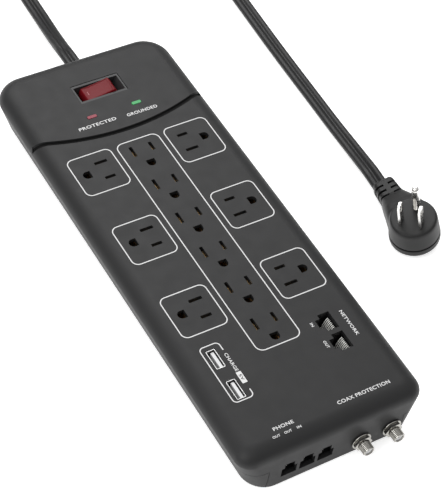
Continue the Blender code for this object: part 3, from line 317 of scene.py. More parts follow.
END_Y = 157 * MM
collar_shape = [
    (-7.0, 7.9, 4.8), (-2.9, 7.9, 4.8), (-2.9, 5.7, 2.8), (0.2, 5.7, 2.8), (0.35, 6.8, 3.9), (0.8, 7.1, 4.1),
    (3.0, 6.9, 3.9), (6.8, 6.5, 3.55), (7.7, 6.3, 3.4), (8.2, 5.9, 3.0), (8.5, 5.45, 2.6),
]
build = bmesh.new()
bridge(build, [collar_ring(END_Y + y * MM, a * MM, b * MM) for y, a, b in collar_shape])
collar = finish_mesh(build, "cord_collar")

coil_in, coil_out, coil_high = 44.9 * MM, 63.5 * MM, COIL_LIFT + CORD_WIDE
strap_middle = ((coil_in + coil_out) / 2 + COIL_Y - 0.5 * MM, coil_high / 2 + 0.5 * MM)
strap_half = ((coil_out - coil_in) / 2 + 0.7 * MM, coil_high / 2 + 0.3 * MM)
build = bmesh.new()
strap_rings = []
for x in (-5.7, -5.2, -4.0, 0.0, 4.0, 5.2, 5.7):
    edge = 0.25 * MM if abs(x) > 5.5 else 0.0
    outer = rounded(strap_half[0] + 0.5 * MM - edge, strap_half[1] + 0.4 * MM - edge, 2.4 * MM, 6)
    strap_rings.append([Vector((COIL_X + x * MM, strap_middle[0] + y, strap_middle[1] + z)) for y, z in outer])
bridge(build, strap_rings)
strap = finish_mesh(build, "coil_strap")
build = bmesh.new()
hole = rounded(strap_half[0] - 0.1 * MM, strap_half[1] - 0.3 * MM, 2.0 * MM, 6)
prism(build, [(strap_middle[0] + y, strap_middle[1] + z) for y, z in hole], "X", COIL_X - 8 * MM, COIL_X + 8 * MM)
combine(strap, build)

# %% [markdown]
# ## The plug
# The plug's body is moulded over its wires in one soft black mass: a round disc, and a neck that narrows to a
# slotted strain relief. Two simple solids are united and remeshed, so that the join between them melts away, as in a
# real moulding. The slots and the groove above the rim are cut afterwards, so that they stay crisp.

# %% Plug body
def turned(build, profile, steps=96):
    """A profile of (radius, height) spun round the z axis."""
    rings = []
    for radius, z in profile:
        angles = [math.tau * i / steps for i in range(steps)]
        rings.append([Vector((radius * math.cos(t) * MM, radius * math.sin(t) * MM, z * MM)) for t in angles])
    bridge(build, rings)


def neck_ring(along, half_x, high, low=0.0):
    corner = min(half_x, (high - low) / 2) * 0.5
    outline = rounded(half_x, (high - low) / 2, corner, 8)
    return [Vector((x * MM, along * MM, ((high + low) / 2 + z) * MM)) for x, z in outline]


build = bmesh.new()
turned(build, [
    (15.0, 0.0), (15.7, 0.5), (15.9, 1.3), (15.9, 4.4), (15.7, 5.4), (15.5, 9.0), (15.1, 13.5), (14.8, 17.0),
    (14.4, 18.6), (13.8, 19.3), (13.0, 19.5),
])
plug_body = finish_mesh(build, "plug_moulding")
build = bmesh.new()
bridge(build, [
    neck_ring(0.0, 14.2, 19.3), neck_ring(8.0, 13.3, 19.2), neck_ring(13.0, 12.0, 18.4), neck_ring(18.0, 10.6, 16.8),
    neck_ring(22.0, 9.5, 14.8), neck_ring(25.5, 8.4, 13.0), neck_ring(28.5, 7.5, 11.9), neck_ring(38.6, 7.0, 11.6),
    neck_ring(39.9, 6.6, 11.2, 0.4), neck_ring(40.5, 5.8, 10.4, 1.2),
])
combine(plug_body, build, "UNION")
melt = plug_body.modifiers.new("melt", "REMESH")
melt.mode = "VOXEL"
melt.voxel_size = 0.55 * MM
soften = plug_body.modifiers.new("soften", "SMOOTH")
soften.factor = 0.5
soften.iterations = 5
settle(plug_body, 60)
for number in range(3):
    near = (NECK_END / MM - 4.2 - number * 4.0) * MM
    for side in (-1, 1):
        slot_shape = [(1.5, 9.6), (4.4, 9.6), (5.2, 8.6), (5.2, 2.6), (12, 2.6), (12, 20), (1.5, 20)]
        build = bmesh.new()
        prism(build, [(side * x * MM, z * MM) for x, z in slot_shape], "Y", near - 1.55 * MM, near)
        combine(plug_body, build)
build = bmesh.new()
arc = [math.radians(158 + 224 * i / 48) for i in range(49)]
groove = [(14.3, 4.9), (18.0, 4.6), (18.0, 6.3), (14.3, 5.9)]
bridge(build, [[Vector((r * math.cos(t), r * math.sin(t), z)) * MM for r, z in groove] for t in arc])
combine(plug_body, build)
build = bmesh.new()
for side in (-1, 1):
    middle = side * 6.35
    box(build, [v * MM for v in (middle - 0.83, -7.73, 15.5)], [v * MM for v in (middle + 0.83, -1.27, 22)])
round_bar(build, (0, 7.4 * MM, 15.5 * MM), 2.5 * MM, 7 * MM)
bmesh.ops.rotate(build, matrix=Matrix.Rotation(-PLUG_TURN, 3, "Z"), verts=build.verts)
combine(plug_body, build)
plug_body.data.transform(plug_pose)
plug_body.data.update()
print("plug body", len(plug_body.data.polygons), "faces")

# %% [markdown]
# ## The casing
# Cover and base come from one outline: a foot that flares up to a widest line, then rounds over to a flat top. The
# same sections as the CAD model's are laid with many more steps. Thin guard rings beside the long flats
# keep smooth shading from bleeding across them, which is what makes a moulded edge read as crisp.

# %% Casing outline
HALF_LONG, HALF_WIDE, HALF_FOOT, TOP = 157 * MM, 59 * MM, 49.5 * MM, 35 * MM
BELT, SEAM, WALL, ROUND_X, ROUND_Y = 26.5 * MM, 17.0 * MM, 2.6 * MM, 11 * MM, 10 * MM
TONGUE = (-41 * MM, 46 * MM)
PAD_LEFT, PAD_DEEP = 33 * MM, 6.7 * MM
ARC_Y, ARC_RADIUS, ARC_HALF, ARC_STEPS = 237.8 * MM, 152 * MM, 22.6, 40


def casing_rings(inset=0.0, low=0.0, arc_steps=14, steps=12):
    rings = []

    def add(half_x, half_y, back, front, z):
        rings.append([Vector((x, y, z)) for x, y in rounded(half_x, half_y, back, steps, front)])

    def side(z, pull=0.0):
        share, less = z / BELT, inset + pull
        half_x = HALF_FOOT + (HALF_WIDE - HALF_FOOT) * share - less
        front = [(foot + (10 - foot) * share) * MM - less for foot in (14.5, 5.5)]
        add(half_x, HALF_LONG - less, (14 + 4 * share) * MM - less, front, z)

    if inset:
        side(low)
    else:
        for z, pull in ((0.0, 1.2), (0.09, 0.75), (0.35, 0.35), (0.75, 0.09), (1.2, 0.0), (2.2, 0.0)):
            side(z * MM, pull * MM)
        side(BELT - 1.2 * MM)
    side(BELT)
    for step in range(1, arc_steps + 1):
        angle = math.pi / 2 * step / arc_steps
        bend = 1 - math.cos(angle)
        in_x, in_y = (ROUND_X - inset / 2) * bend, (ROUND_Y - inset / 2) * bend
        z = BELT + (TOP - inset - BELT) * math.sin(angle)
        front = [(10 * MM - inset) * (1 - 0.75 * bend)] * 2
        add(HALF_WIDE - inset - in_x, HALF_LONG - inset - in_y, 18 * MM - inset - (in_x + in_y) / 2, front, z)
    if not inset:
        guard = 0.5 * MM
        add(HALF_WIDE - ROUND_X - guard, HALF_LONG - ROUND_Y - guard, 7.5 * MM - guard, [2 * MM] * 2, TOP)
    return rings


def casing(name):
    build = bmesh.new()
    bridge(build, casing_rings())
    return finish_mesh(build, name)


# %% The cover, its groove and its holes
BLADE_OUT, GROUND_OUT = 6.35, 11.9
NETWORK_X, NETWORK_YS = 32.5, (-93.9, -108.9)
PHONE_XS, COAX_XS, COAX_Z = (-28.0, -16.3, -4.6), (18.9, 39.1), 9.0
OUTLETS = [(0.0, 67.0 - 29 * i, (0, -1)) for i in range(6)]
OUTLETS += [(side * 27.9, 61.3 - 58 * i, (side, 0)) for side in (-1, 1) for i in range(3)]
cover = casing("cover_skin")
build = bmesh.new()
bridge(build, casing_rings(WALL, -4 * MM, 4, 4))
combine(cover, build)
edge, far = SEAM + GAP / 2, 0.2
cut_box(cover, (-far, -HALF_LONG + WALL, -0.01), (far, far, edge))
for near, stop in ((-far, TONGUE[0]), (TONGUE[1], far)):
    cut_box(cover, (near, -far, -0.011), (stop, -HALF_LONG + WALL + MM, edge))
pad_low = (PAD_LEFT, -HALF_LONG + WALL - 0.2 * MM, WALL + GAP)
cut_box(cover, pad_low, (TONGUE[1], -HALF_LONG + PAD_DEEP, edge + GAP), "UNION")


def groove_height(x):
    """The cover's surface over a line across it, past the flat and down the rounded side."""
    past = abs(x) - (HALF_WIDE - ROUND_X)
    if past <= 0:
        return TOP
    return BELT + (TOP - BELT) * math.sqrt(max(0.0, 1 - (min(past, ROUND_X * 0.999) / ROUND_X) ** 2))


build = bmesh.new()
rings = []
for i in range(-ARC_STEPS, ARC_STEPS + 1):
    t = math.radians(-90 + ARC_HALF * i / ARC_STEPS)
    out = Vector((math.cos(t), math.sin(t), 0))
    centre = Vector((0, ARC_Y, 0)) + out * ARC_RADIUS
    centre.z = groove_height(centre.x)
    bowl = [(-1.6, 0.0), (-1.45, -1.0), (-1.15, -1.6), (-0.5, -1.85), (0.5, -1.85), (1.15, -1.6), (1.45, -1.0)]
    bowl += [(1.6, 0.0), (1.9, 3.2), (-1.9, 3.2)]
    rings.append([centre + out * (a * MM) + Vector((0, 0, b * MM)) for a, b in bowl])
bridge(build, rings)
combine(cover, build)

build = bmesh.new()
low, high = TOP - WALL - MM, TOP + MM
for x, y, (gx, gy) in OUTLETS:
    for side, long in ((1, 8.4), (-1, 6.8)):
        middle = (x + side * gy * BLADE_OUT, y - side * gx * BLADE_OUT)
        half = (long / 2, 1.05) if gx else (1.05, long / 2)
        outline = [(middle[0] + a, middle[1] + b) for a, b in rounded(half[0], half[1], 0.35, 3)]
        prism(build, [(a * MM, b * MM) for a, b in outline], "Z", low, high)
    facing = math.atan2(gy, gx)
    centre = (x + gx * GROUND_OUT, y + gy * GROUND_OUT)
    outline = []
    for step in range(17):
        t = facing - math.pi / 2 + math.pi * step / 16
        outline.append((centre[0] + 2.8 * math.cos(t), centre[1] + 2.8 * math.sin(t)))
    for side in (1, -1):
        outline.append((centre[0] - gx * 2.38 - gy * side * 2.8, centre[1] - gy * 2.38 + gx * side * 2.8))
    prism(build, [(a * MM, b * MM) for a, b in outline], "Z", low, high)
SWITCH = Vector((0, 123.8, 28.4)) * MM
outline = rounded(16.4 * MM, 8.1 * MM, 0.8 * MM, 4)
prism(build, [(a, SWITCH.y + b) for a, b in outline], "Z", low, high)
for x in (-15.3, 15.3):
    outline = rounded(3.35 * MM, 1.35 * MM, 0.9 * MM, 5)
    prism(build, [(x * MM + a, 103.5 * MM + b) for a, b in outline], "Z", low, high)
for y in (-89.8, -112.2):
    outline = rounded(3.15 * MM, 6.85 * MM, 0.8 * MM, 4)
    prism(build, [(-38.3 * MM + a, y * MM + b) for a, b in outline], "Z", low, high)
for y in NETWORK_YS:
    mouth = [(-3.7, -6.0), (3.7, -6.0), (3.7, 6.0), (-3.7, 6.0), (-3.7, 3.2), (-6.9, 3.2), (-6.9, -3.2), (-3.7, -3.2)]
    prism(build, [((NETWORK_X + a) * MM, (y + b) * MM) for a, b in mouth], "Z", low, high)
for x in PHONE_XS:
    mouth = [(-4.9, 7.1), (4.9, 7.1), (4.9, 13.9), (3.1, 13.9), (3.1, 17.5), (-3.1, 17.5), (-3.1, 13.9), (-4.9, 13.9)]
    prism(build, [((x + a) * MM, b * MM) for a, b in mouth], "Y", -HALF_LONG - MM, -HALF_LONG + WALL + MM)
for x in COAX_XS:
    round_bar(build, (x * MM, -HALF_LONG - MM, COAX_Z * MM), 3.9 * MM, PAD_DEEP + 2 * MM, "Y")
combine(cover, build)
build = bmesh.new()
gland_hole = [(EXIT.x + a, EXIT.z + b) for a, b in rounded(6.2 * MM, 3.3 * MM, 2.9 * MM, 6)]
prism(build, gland_hole, "Y", HALF_LONG - 6 * MM, HALF_LONG + MM)
combine(cover, build)
print("cover", len(cover.data.polygons), "faces")

# %% [markdown]
# The base is the same outline below the seam. Its underside has six deep screw holes and two keyholes, so that the
# strip can hang on a wall.

# %% The base
SCREWS = [(side * x, y) for x, y in ((42.5, 138), (15.2, 3.3), (42.5, -128)) for side in (-1, 1)]
base = casing("base_skin")
build = bmesh.new()
bridge(build, casing_rings(WALL, WALL, 4, 4))
combine(base, build)
for low, high in (
    ((-far, -far, SEAM - GAP / 2), (far, far, far)),
    ((TONGUE[0] - GAP, -far, -0.01), (TONGUE[1] + GAP, -HALF_LONG + WALL + GAP, 0.1)),
    ((PAD_LEFT - GAP, -far, WALL), (TONGUE[1] + GAP, -HALF_LONG + PAD_DEEP + GAP, 0.1)),
):
    cut_box(base, low, high)
for how, start, radius, length in (("UNION", 1.3, 4.6, 4.9), ("DIFFERENCE", -2, 3.4, 5.6), ("DIFFERENCE", 2, 1.6, 6)):
    build = bmesh.new()
    for x, y in SCREWS:
        round_bar(build, (x * MM, y * MM, start * MM), radius * MM, length * MM)
    combine(base, build, how)
build = bmesh.new()
for y in (-40, 50):
    ends = [math.radians(125 + 290 * i / 20) for i in range(21)]
    outline = [(4 * math.cos(t), y + 4 * math.sin(t)) for t in ends]
    outline += [(2.3 * math.cos(math.pi * i / 8), y + 8 + 2.3 * math.sin(math.pi * i / 8)) for i in range(9)]
    prism(build, [(a * MM, b * MM) for a, b in outline], "Z", -2 * MM, 5 * MM)
prism(build, gland_hole, "Y", HALF_LONG - 6 * MM, HALF_LONG + MM)
combine(base, build)
print("base", len(base.data.polygons), "faces")

# %% [markdown]
# ## The rocker
# A rocker's top dips softly in its middle, over the pivot, and its ends are arcs about that pivot, so that it clears
# the housing as it turns. It is a flat outline pushed along the pivot, then bevelled. Its face is sunk a little
# inside a rim. It rests with its left end pressed, so it and its mark are turned by that tilt.

# %% Rocker and its mark
ROCKER_TILT = math.radians(9)
rocker_pose = Matrix.Translation(SWITCH) @ Matrix.Rotation(-ROCKER_TILT, 4, "Y")
radius, corner = math.hypot(9.2, 6.6), math.atan2(6.6, 9.2)
ends = [corner + (math.radians(6) - corner) * i / 8 for i in range(9)]
outline = [(radius * math.cos(t), radius * math.sin(t)) for t in ends]
outline += [(4.8, -5.2), (-4.8, -5.2)] + [(-x, z) for x, z in reversed(outline)]
outline += [(x, 6.6 - 0.5 * (1 - (x / 9.2) ** 2)) for x in (-7.5, -5.5, -3.5, -1.5, 0, 1.5, 3.5, 5.5, 7.5)]
build = bmesh.new()
prism(build, [(x * MM, z * MM) for x, z in outline], "Y", -5.7 * MM, 5.7 * MM)
rocker = finish_mesh(build, "rocker_cap")
bevel = rocker.modifiers.new("edges", "BEVEL")
bevel.width = 0.45 * MM
bevel.segments = 3
bevel.limit_method = "ANGLE"
bevel.angle_limit = math.radians(30)
settle(rocker)
face = [(x, 6.32 - 0.5 * (1 - (x / 9.2) ** 2)) for x in (-8.3, -6, -4, -2, 0, 2, 4, 6, 8.3)]
build = bmesh.new()
prism(build, [(x * MM, z * MM) for x, z in face + [(8.3, 9), (-8.3, 9)]], "Y", -4.9 * MM, 4.9 * MM)
combine(rocker, build)
build = bmesh.new()
round_bar(build, (0, -7.5 * MM, 0), 1.2 * MM, 15 * MM, "Y", 20)
combine(rocker, build, "UNION")
rocker.data.transform(rocker_pose)
build = bmesh.new()
box(build, [v * MM for v in (-6.9, -1.5, 5.5)], [v * MM for v in (-6.5, 1.5, 6.17)])
marks = finish_mesh(build, "rocker_marks", smooth=0)
marks.data.transform(rocker_pose)

# %% [markdown]
# ## Printed lines and words
# White lines frame the groups of outlets. Each is the same rule with other numbers, which is what Geometry Nodes
# are for: a rectangle curve with rounded corners, swept by a thin flat section. The tree's sizes are its inputs. The
# result is turned into a plain mesh, with its place in its points.

# %% A Geometry Nodes tree that prints a rounded frame
def new_tree(name, inputs):
    tree = bpy.data.node_groups.new(name, "GeometryNodeTree")
    tree.interface.new_socket("Geometry", in_out="OUTPUT", socket_type="NodeSocketGeometry")
    for label, kind in inputs:
        tree.interface.new_socket(label, in_out="INPUT", socket_type=kind)
    ends = tree.nodes.new("NodeGroupInput"), tree.nodes.new("NodeGroupOutput")
    return tree, ends[0].outputs, ends[1].inputs[0]


def add_node(tree, kind, settings=(), **links):
    """A node with its settings, then values or links for its sockets, by name or by number after an underscore."""
    node = tree.nodes.new(kind)
    for key, value in dict(settings).items():
        setattr(node, key, value)
    for key, value in links.items():
        socket = node.inputs[int(key[1:]) if key[0] == "_" else key.replace("__", " ")]
        if isinstance(value, bpy.types.NodeSocket):
            tree.links.new(value, socket)
        else:
            flat_colour = socket.type == "RGBA" and isinstance(value, tuple) and len(value) == 3
            socket.default_value = (*value, 1.0) if flat_colour else value
    return node


def end_tree(tree, last, finish, out):
    """Every tree ends the same way: its copies made real, then given their finish."""
    realized = add_node(tree, "GeometryNodeRealizeInstances", Geometry=last.outputs[0])
    coloured = add_node(tree, "GeometryNodeSetMaterial", Geometry=realized.outputs[0], Material=finish)
    tree.links.new(coloured.outputs[0], out)


def run_tree(name, tree, values):
    """The tree's result as a plain mesh object."""
    piece = bpy.data.objects.new(name, bpy.data.meshes.new(name))
    bpy.context.scene.collection.objects.link(piece)
    step = piece.modifiers.new("nodes", "NODES")
    step.node_group = tree
    sockets = {s.name: s.identifier for s in tree.interface.items_tree if s.in_out == "INPUT"}
    for label, value in values.items():
        step[sockets[label]] = value
    return settle(piece)


frame_tree, given, out = new_tree("printed_frame", [
    ("Width", "NodeSocketFloat"), ("Height", "NodeSocketFloat"), ("Corner", "NodeSocketFloat"),
    ("Line", "NodeSocketFloat"), ("Finish", "NodeSocketMaterial"),
])
QUAD = "GeometryNodeCurvePrimitiveQuadrilateral"
rectangle = add_node(frame_tree, QUAD, Width=given["Width"], Height=given["Height"])
fillet = add_node(
    frame_tree, "GeometryNodeFilletCurve", {"mode": "POLY"},
    Curve=rectangle.outputs[0], Count=8, Radius=given["Corner"],
)
section = add_node(frame_tree, QUAD, Width=given["Line"], Height=0.05 * MM)
swept = add_node(frame_tree, "GeometryNodeCurveToMesh", Curve=fillet.outputs[0], Profile__Curve=section.outputs[0])
end_tree(frame_tree, swept, given["Finish"], out)

# %% [markdown]
# ## Materials
# Every finish is drawn by nodes. Formulas read better than node names, so one class wraps a socket and lets
# Python's own operators add Math nodes. Patterns use Object coordinates, which here are the object's real metres.

# %% Shader maths as Python expressions
class Value:
    """A number that varies over a surface."""

    def __init__(self, paint, socket):
        self.paint, self.socket = paint, socket

    def maths(self, how, other=0.0, swap=False):
        first, second = (other, self) if swap else (self, other)
        return self.paint.node("ShaderNodeMath", {"operation": how}, _0=first, _1=second)

    def __add__(self, other):
        return self.maths("ADD", other)

    def __mul__(self, other):
        return self.maths("MULTIPLY", other)

    def __sub__(self, other):
        return self.maths("SUBTRACT", other)

    def __rsub__(self, other):
        return self.maths("SUBTRACT", other, swap=True)

    __radd__, __rmul__ = __add__, __mul__


class Paint:
    """One material and the nodes that drive its Principled shader."""

    def __init__(self, name, **uniform):
        self.material = bpy.data.materials.new(name)
        self.material.use_nodes = True
        self.tree = self.material.node_tree
        self.shader = self.tree.nodes["Principled BSDF"]
        self.place = self.node("ShaderNodeTexCoord", out="Object")
        for key, value in uniform.items():
            self.set(key.replace("_", " ").title().replace("Ior", "IOR"), value)

    def set(self, socket, value):
        if isinstance(value, Value):
            self.tree.links.new(value.socket, self.shader.inputs[socket])
        else:
            self.shader.inputs[socket].default_value = (*value, 1.0) if isinstance(value, tuple) else value
        return self

    def node(self, kind, settings=(), out=0, **values):
        sockets = {key: value.socket if isinstance(value, Value) else value for key, value in values.items()}
        made = add_node(self.tree, kind, settings, **sockets)
        return Value(self, made.outputs[out])

    def noise(self, size, detail=2.0, stretch=None):
        """Soft noise with features about size metres across, longer along an axis if stretched."""
        where = self.place
        if stretch:
            where = self.node("ShaderNodeMapping", Vector=self.place, Scale=stretch)
        return self.node("ShaderNodeTexNoise", Vector=where, Scale=1 / size, Detail=detail)

    def mix(self, share, dark, light):
        return self.node("ShaderNodeMix", {"data_type": "RGBA"}, out=2, _0=share, _6=dark, _7=light)

    def bump(self, height, depth, strength=1.0):
        self.set("Normal", self.node("ShaderNodeBump", Height=height, Distance=depth, Strength=strength))
        return self


def spark_plastic(name, dark, light, rough, grain=0.45 * MM, depth=0.03 * MM, gloss=0.3, **uniform):
    """Moulded plastic with the fine sparked grain of its mould and faint handling marks."""
    paint = Paint(name, specular_ior_level=gloss, **uniform)
    cloud, fine = paint.noise(22 * MM, 3.0), paint.noise(grain, 2.0)
    paint.set("Base Color", paint.mix(cloud * 0.6 + fine * 0.4, dark, light))
    paint.set("Roughness", rough + (paint.noise(9 * MM, 4.0) - 0.5) * 0.14)
    return paint.bump(fine, depth).material


def plated_metal(name, dark, light, rough, streak, grain=0.3 * MM):
    """Plated or bare metal with faint streaks along one axis."""
    paint = Paint(name, metallic=1.0)
    lines, cloud = paint.noise(grain, 3.0, streak), paint.noise(3 * MM, 3.0)
    paint.set("Base Color", paint.mix(cloud, dark, light))
    paint.set("Roughness", rough + (lines - 0.5) * 0.18)
    return paint.bump(lines, 0.01 * MM).material


# %% Every finish on the strip
CASE = spark_plastic("sparked_case_plastic", (0.0125, 0.0125, 0.013), (0.0160, 0.0160, 0.0165), 0.52)
GROOVE = spark_plastic("groove_shade_plastic", (0.004, 0.004, 0.004), (0.006, 0.006, 0.006), 0.6, gloss=0.15)
INNER = spark_plastic("smooth_inner_plastic", (0.006, 0.006, 0.006), (0.010, 0.010, 0.011), 0.42, 0.8 * MM, 0.01 * MM)
# The switch housing's dark plastic is painted lighter than the case, a painted light, so that the floor of its deep
# recess shows grey.
HOUSING_PAINTED_LIGHTER = spark_plastic(
    "switch_housing_plastic_painted_lighter", (0.026, 0.026, 0.027), (0.034, 0.034, 0.035), 0.4, 0.8 * MM, 0.01 * MM,
)
CORD = spark_plastic("cord_jacket", (0.010, 0.010, 0.010), (0.014, 0.014, 0.015), 0.42, 0.7 * MM, 0.02 * MM)
PLUG = spark_plastic("plug_moulding_rubber", (0.008, 0.008, 0.008), (0.012, 0.012, 0.012), 0.46, 0.5 * MM, 0.02 * MM)
STRAP = spark_plastic("strap_loop_pile", (0.010, 0.010, 0.011), (0.024, 0.024, 0.026), 0.85, 0.35 * MM, 0.15 * MM)
PRINT = spark_plastic("white_print", (0.62, 0.62, 0.62), (0.74, 0.74, 0.74), 0.55, 0.3 * MM, 0.004 * MM)
MARK = spark_plastic("rocker_mark_paint", (0.30, 0.10, 0.11), (0.42, 0.16, 0.17), 0.45, 0.3 * MM, 0.004 * MM)
TONGUE_WHITE = spark_plastic("tongue_plastic", (0.60, 0.61, 0.62), (0.74, 0.74, 0.74), 0.38, 0.6 * MM, 0.01 * MM)
WIRE = spark_plastic(
    "pale_contact_wire", (0.74, 0.74, 0.70), (0.90, 0.90, 0.86), 0.3, 0.4 * MM, 0.004 * MM, gloss=0.9,
)
# The rocker keeps its own clear red colour, with a faint emission on top: a painted glow, as the rocker is no lamp.
ROCKER = spark_plastic(
    "clear_red_rocker_painted_glow", (0.105, 0.003, 0.006), (0.14, 0.005, 0.009), 0.38, 2 * MM, 0.01 * MM, gloss=0.15,
    emission_color=(0.4, 0.005, 0.01), emission_strength=0.04,
)
RED_LIGHT = spark_plastic(
    "red_light_lens", (0.15, 0.006, 0.02), (0.20, 0.01, 0.026), 0.3, 1 * MM, 0.005 * MM,
    emission_color=(0.6, 0.02, 0.08), emission_strength=0.08,
)
GREEN_LIGHT = spark_plastic(
    "green_light_lens", (0.01, 0.20, 0.05), (0.02, 0.27, 0.08), 0.3, 1 * MM, 0.005 * MM,
    emission_color=(0.08, 0.8, 0.2), emission_strength=0.1,
)
BRASS = plated_metal("rail_brass", (0.50, 0.30, 0.12), (0.74, 0.50, 0.24), 0.34, (1, 0.05, 1))
GOLD = plated_metal("gilt_contacts", (0.72, 0.55, 0.28), (0.90, 0.78, 0.50), 0.25, (1, 1, 0.05))
NICKEL = plated_metal("bright_nickel", (0.30, 0.29, 0.27), (0.52, 0.51, 0.48), 0.20, (1, 0.08, 1))
THREAD = plated_metal("thread_nickel", (0.20, 0.19, 0.17), (0.36, 0.35, 0.32), 0.26, (1, 0.08, 1))
SHELL = plated_metal("drawn_steel_shell", (0.30, 0.30, 0.30), (0.42, 0.42, 0.42), 0.3, (1, 1, 0.1))
BLADE = plated_metal("blade_nickel", (0.66, 0.65, 0.63), (0.84, 0.83, 0.81), 0.24, (1, 1, 0.06))
STEEL = plated_metal("zinc_screws", (0.42, 0.43, 0.45), (0.60, 0.60, 0.60), 0.36, (1, 1, 0.2))
BOARD = spark_plastic("green_board", (0.010, 0.10, 0.035), (0.02, 0.17, 0.06), 0.35, 1.5 * MM, 0.02 * MM)
VARISTOR = spark_plastic("dipped_varistor", (0.02, 0.06, 0.26), (0.04, 0.11, 0.40), 0.3, 1 * MM, 0.03 * MM)

# %% Give the CAD nodes their finishes
BY_START = (
    ("usb_tongue", TONGUE_WHITE), ("usb_shell", SHELL), ("plug_blade", BLADE), ("plug_ground", BLADE),
    ("switch_housing", HOUSING_PAINTED_LIGHTER),
    ("case_screw", STEEL), ("varistor", VARISTOR), ("network_contacts", GOLD), ("phone_contacts", GOLD),
    ("switch_terminal", BRASS), ("light_protected", RED_LIGHT), ("light_grounded", GREEN_LIGHT),
)


def finish_for(name):
    for start, material in BY_START:
        if name.startswith(start):
            return material
    if name.endswith("_rail"):
        return BRASS
    return BOARD if name.endswith("_board") else INNER


def paint(piece, material):
    piece.data.materials.clear()
    piece.data.materials.append(material)


for name, node in nodes.items():
    paint(node, finish_for(name))
paint(cover, CASE)
paint(base, CASE)
# The arc's steep walls take a darker finish, as little light reaches them.
cover.data.materials.append(GROOVE)
for face in cover.data.polygons:
    spot = face.center
    away = abs(math.hypot(spot.x, spot.y - ARC_Y) - ARC_RADIUS)
    if away < 1.5 * MM and groove_height(spot.x) - 2.2 * MM < spot.z < groove_height(spot.x) - 0.5 * MM:
        face.material_index = 1
for piece, material in (
    (cord, CORD), (collar, CORD), (strap, STRAP), (plug_body, PLUG), (rocker, ROCKER), (marks, MARK),
):
    paint(piece, material)

# %% Print the frames
PRINT_Z = TOP + 0.03 * MM
LINE = 0.64 * MM
frames = [("centre_frame", 0.0, -10.15, 28.3, 171.7, 4.5)]
for side, word in ((-1, "left"), (1, "right")):
    for i in range(3):
        frames.append((f"{word}_frame_{i + 1}", side * 32.75, 60.7 - 58 * i, 29.1, 30.6, 4.0))
frames.append(("usb_frame", -37.45, -100.0, 12.3, 40.0, 2.5))
printed = []
for name, x, y, width, height, corner in frames:
    line = run_tree(name, frame_tree, {
        "Width": width * MM, "Height": height * MM, "Corner": corner * MM, "Line": LINE, "Finish": PRINT,
    })
    line.data.transform(Matrix.Translation((x * MM, y * MM, PRINT_Z)))
    printed.append(line)
# The words beside the ports stand in their frame's right side, so that side opens for them.
cut_box(printed[-1], (-33 * MM, -115 * MM, 0.03), (-29 * MM, -86 * MM, 0.04))
print(len(printed), "printed frames")


# %% [markdown]
# Each word is a text curve turned into a mesh, then scaled to the width and height given for it, so a table of words
# can place them all.

# %% Print the words
def print_word(name, word, x, y, width, cap, quarter_turns=0, z=PRINT_Z):
    """A word laid on the cover, centred, fitted to its width and capital height."""
    text = bpy.data.curves.new(name, "FONT")
    text.body = word
    text.size = 1.0
    text.offset = 0.018
    text.space_character = 1.08
    text.extrude = 0.012
    flat = bpy.data.objects.new(name, text)
    bpy.context.scene.collection.objects.link(flat)
    bpy.context.view_layer.update()
    mesh = bpy.data.meshes.new_from_object(flat.evaluated_get(bpy.context.evaluated_depsgraph_get()))
    bpy.data.objects.remove(flat)
    xs = [v.co.x for v in mesh.vertices]
    ys = [v.co.y for v in mesh.vertices]
    middle = Vector(((min(xs) + max(xs)) / 2, (min(ys) + max(ys)) / 2, 0))
    fit = Matrix.Diagonal((width * MM / (max(xs) - min(xs)), cap * MM / (max(ys) - min(ys)), 2 * MM, 1))
    place = Matrix.Translation((x * MM, y * MM, z)) @ Matrix.Rotation(-math.pi / 2 * quarter_turns, 4, "Z")
    mesh.transform(place @ fit @ Matrix.Translation(-middle))
    piece = bpy.data.objects.new(name, mesh)
    bpy.context.scene.collection.objects.link(piece)
    paint(piece, PRINT)
    printed.append(piece)
    return piece


WORDS = [
    ("protected", "PROTECTED", -15.1, 96.5, 25.2, 2.4), ("grounded", "GROUNDED", 15.2, 95.8, 20.8, 2.4),
    ("network", "NETWORK", 42.8, -100.0, 19.0, 2.1, 1), ("in", "IN", 22.7, -92.4, 2.6, 1.7, 1),
    ("out", "OUT", 22.8, -107.6, 5.2, 1.7, 1), ("coax", "COAX PROTECTION", 24.0, -144.2, 34.0, 2.3),
    ("phone", "PHONE", -27.3, -143.7, 12.6, 2.2), ("phone_out_1", "OUT", -34.2, -148.2, 4.6, 1.5),
    ("phone_out_2", "OUT", -26.9, -148.2, 4.6, 1.5), ("phone_in", "IN", -20.0, -148.2, 2.6, 1.5),
    ("charge", "CHARGE", -31.4, -95.2, 13.2, 2.0, 1),
]
for name, *how in WORDS:
    print_word(f"word_{name}", *how)
build = bmesh.new()
outline = [(-31.4 * MM + a, -106.5 * MM + b) for a, b in rounded(1.55 * MM, 4.0 * MM, 0.3 * MM, 3)]
prism(build, outline, "Z", TOP + 0.005 * MM, TOP + 0.045 * MM)
tag = finish_mesh(build, "tag_patch", smooth=0)
paint(tag, PRINT)
printed.append(tag)
tag_word = print_word("tag_word", "5V", -31.4, -106.5, 4.2, 1.7, 1, TOP + 0.06 * MM)
paint(tag_word, INNER)
print(len(printed), "printed pieces")

# %% [markdown]
# ## Contacts in the jacks and outlets
# A network jack shows eight thin wires that slope down from its back wall, and a phone jack has four. Both are one
# wire at an even pitch, so one tree does both: a curve through three points, swept, then copied along a line.

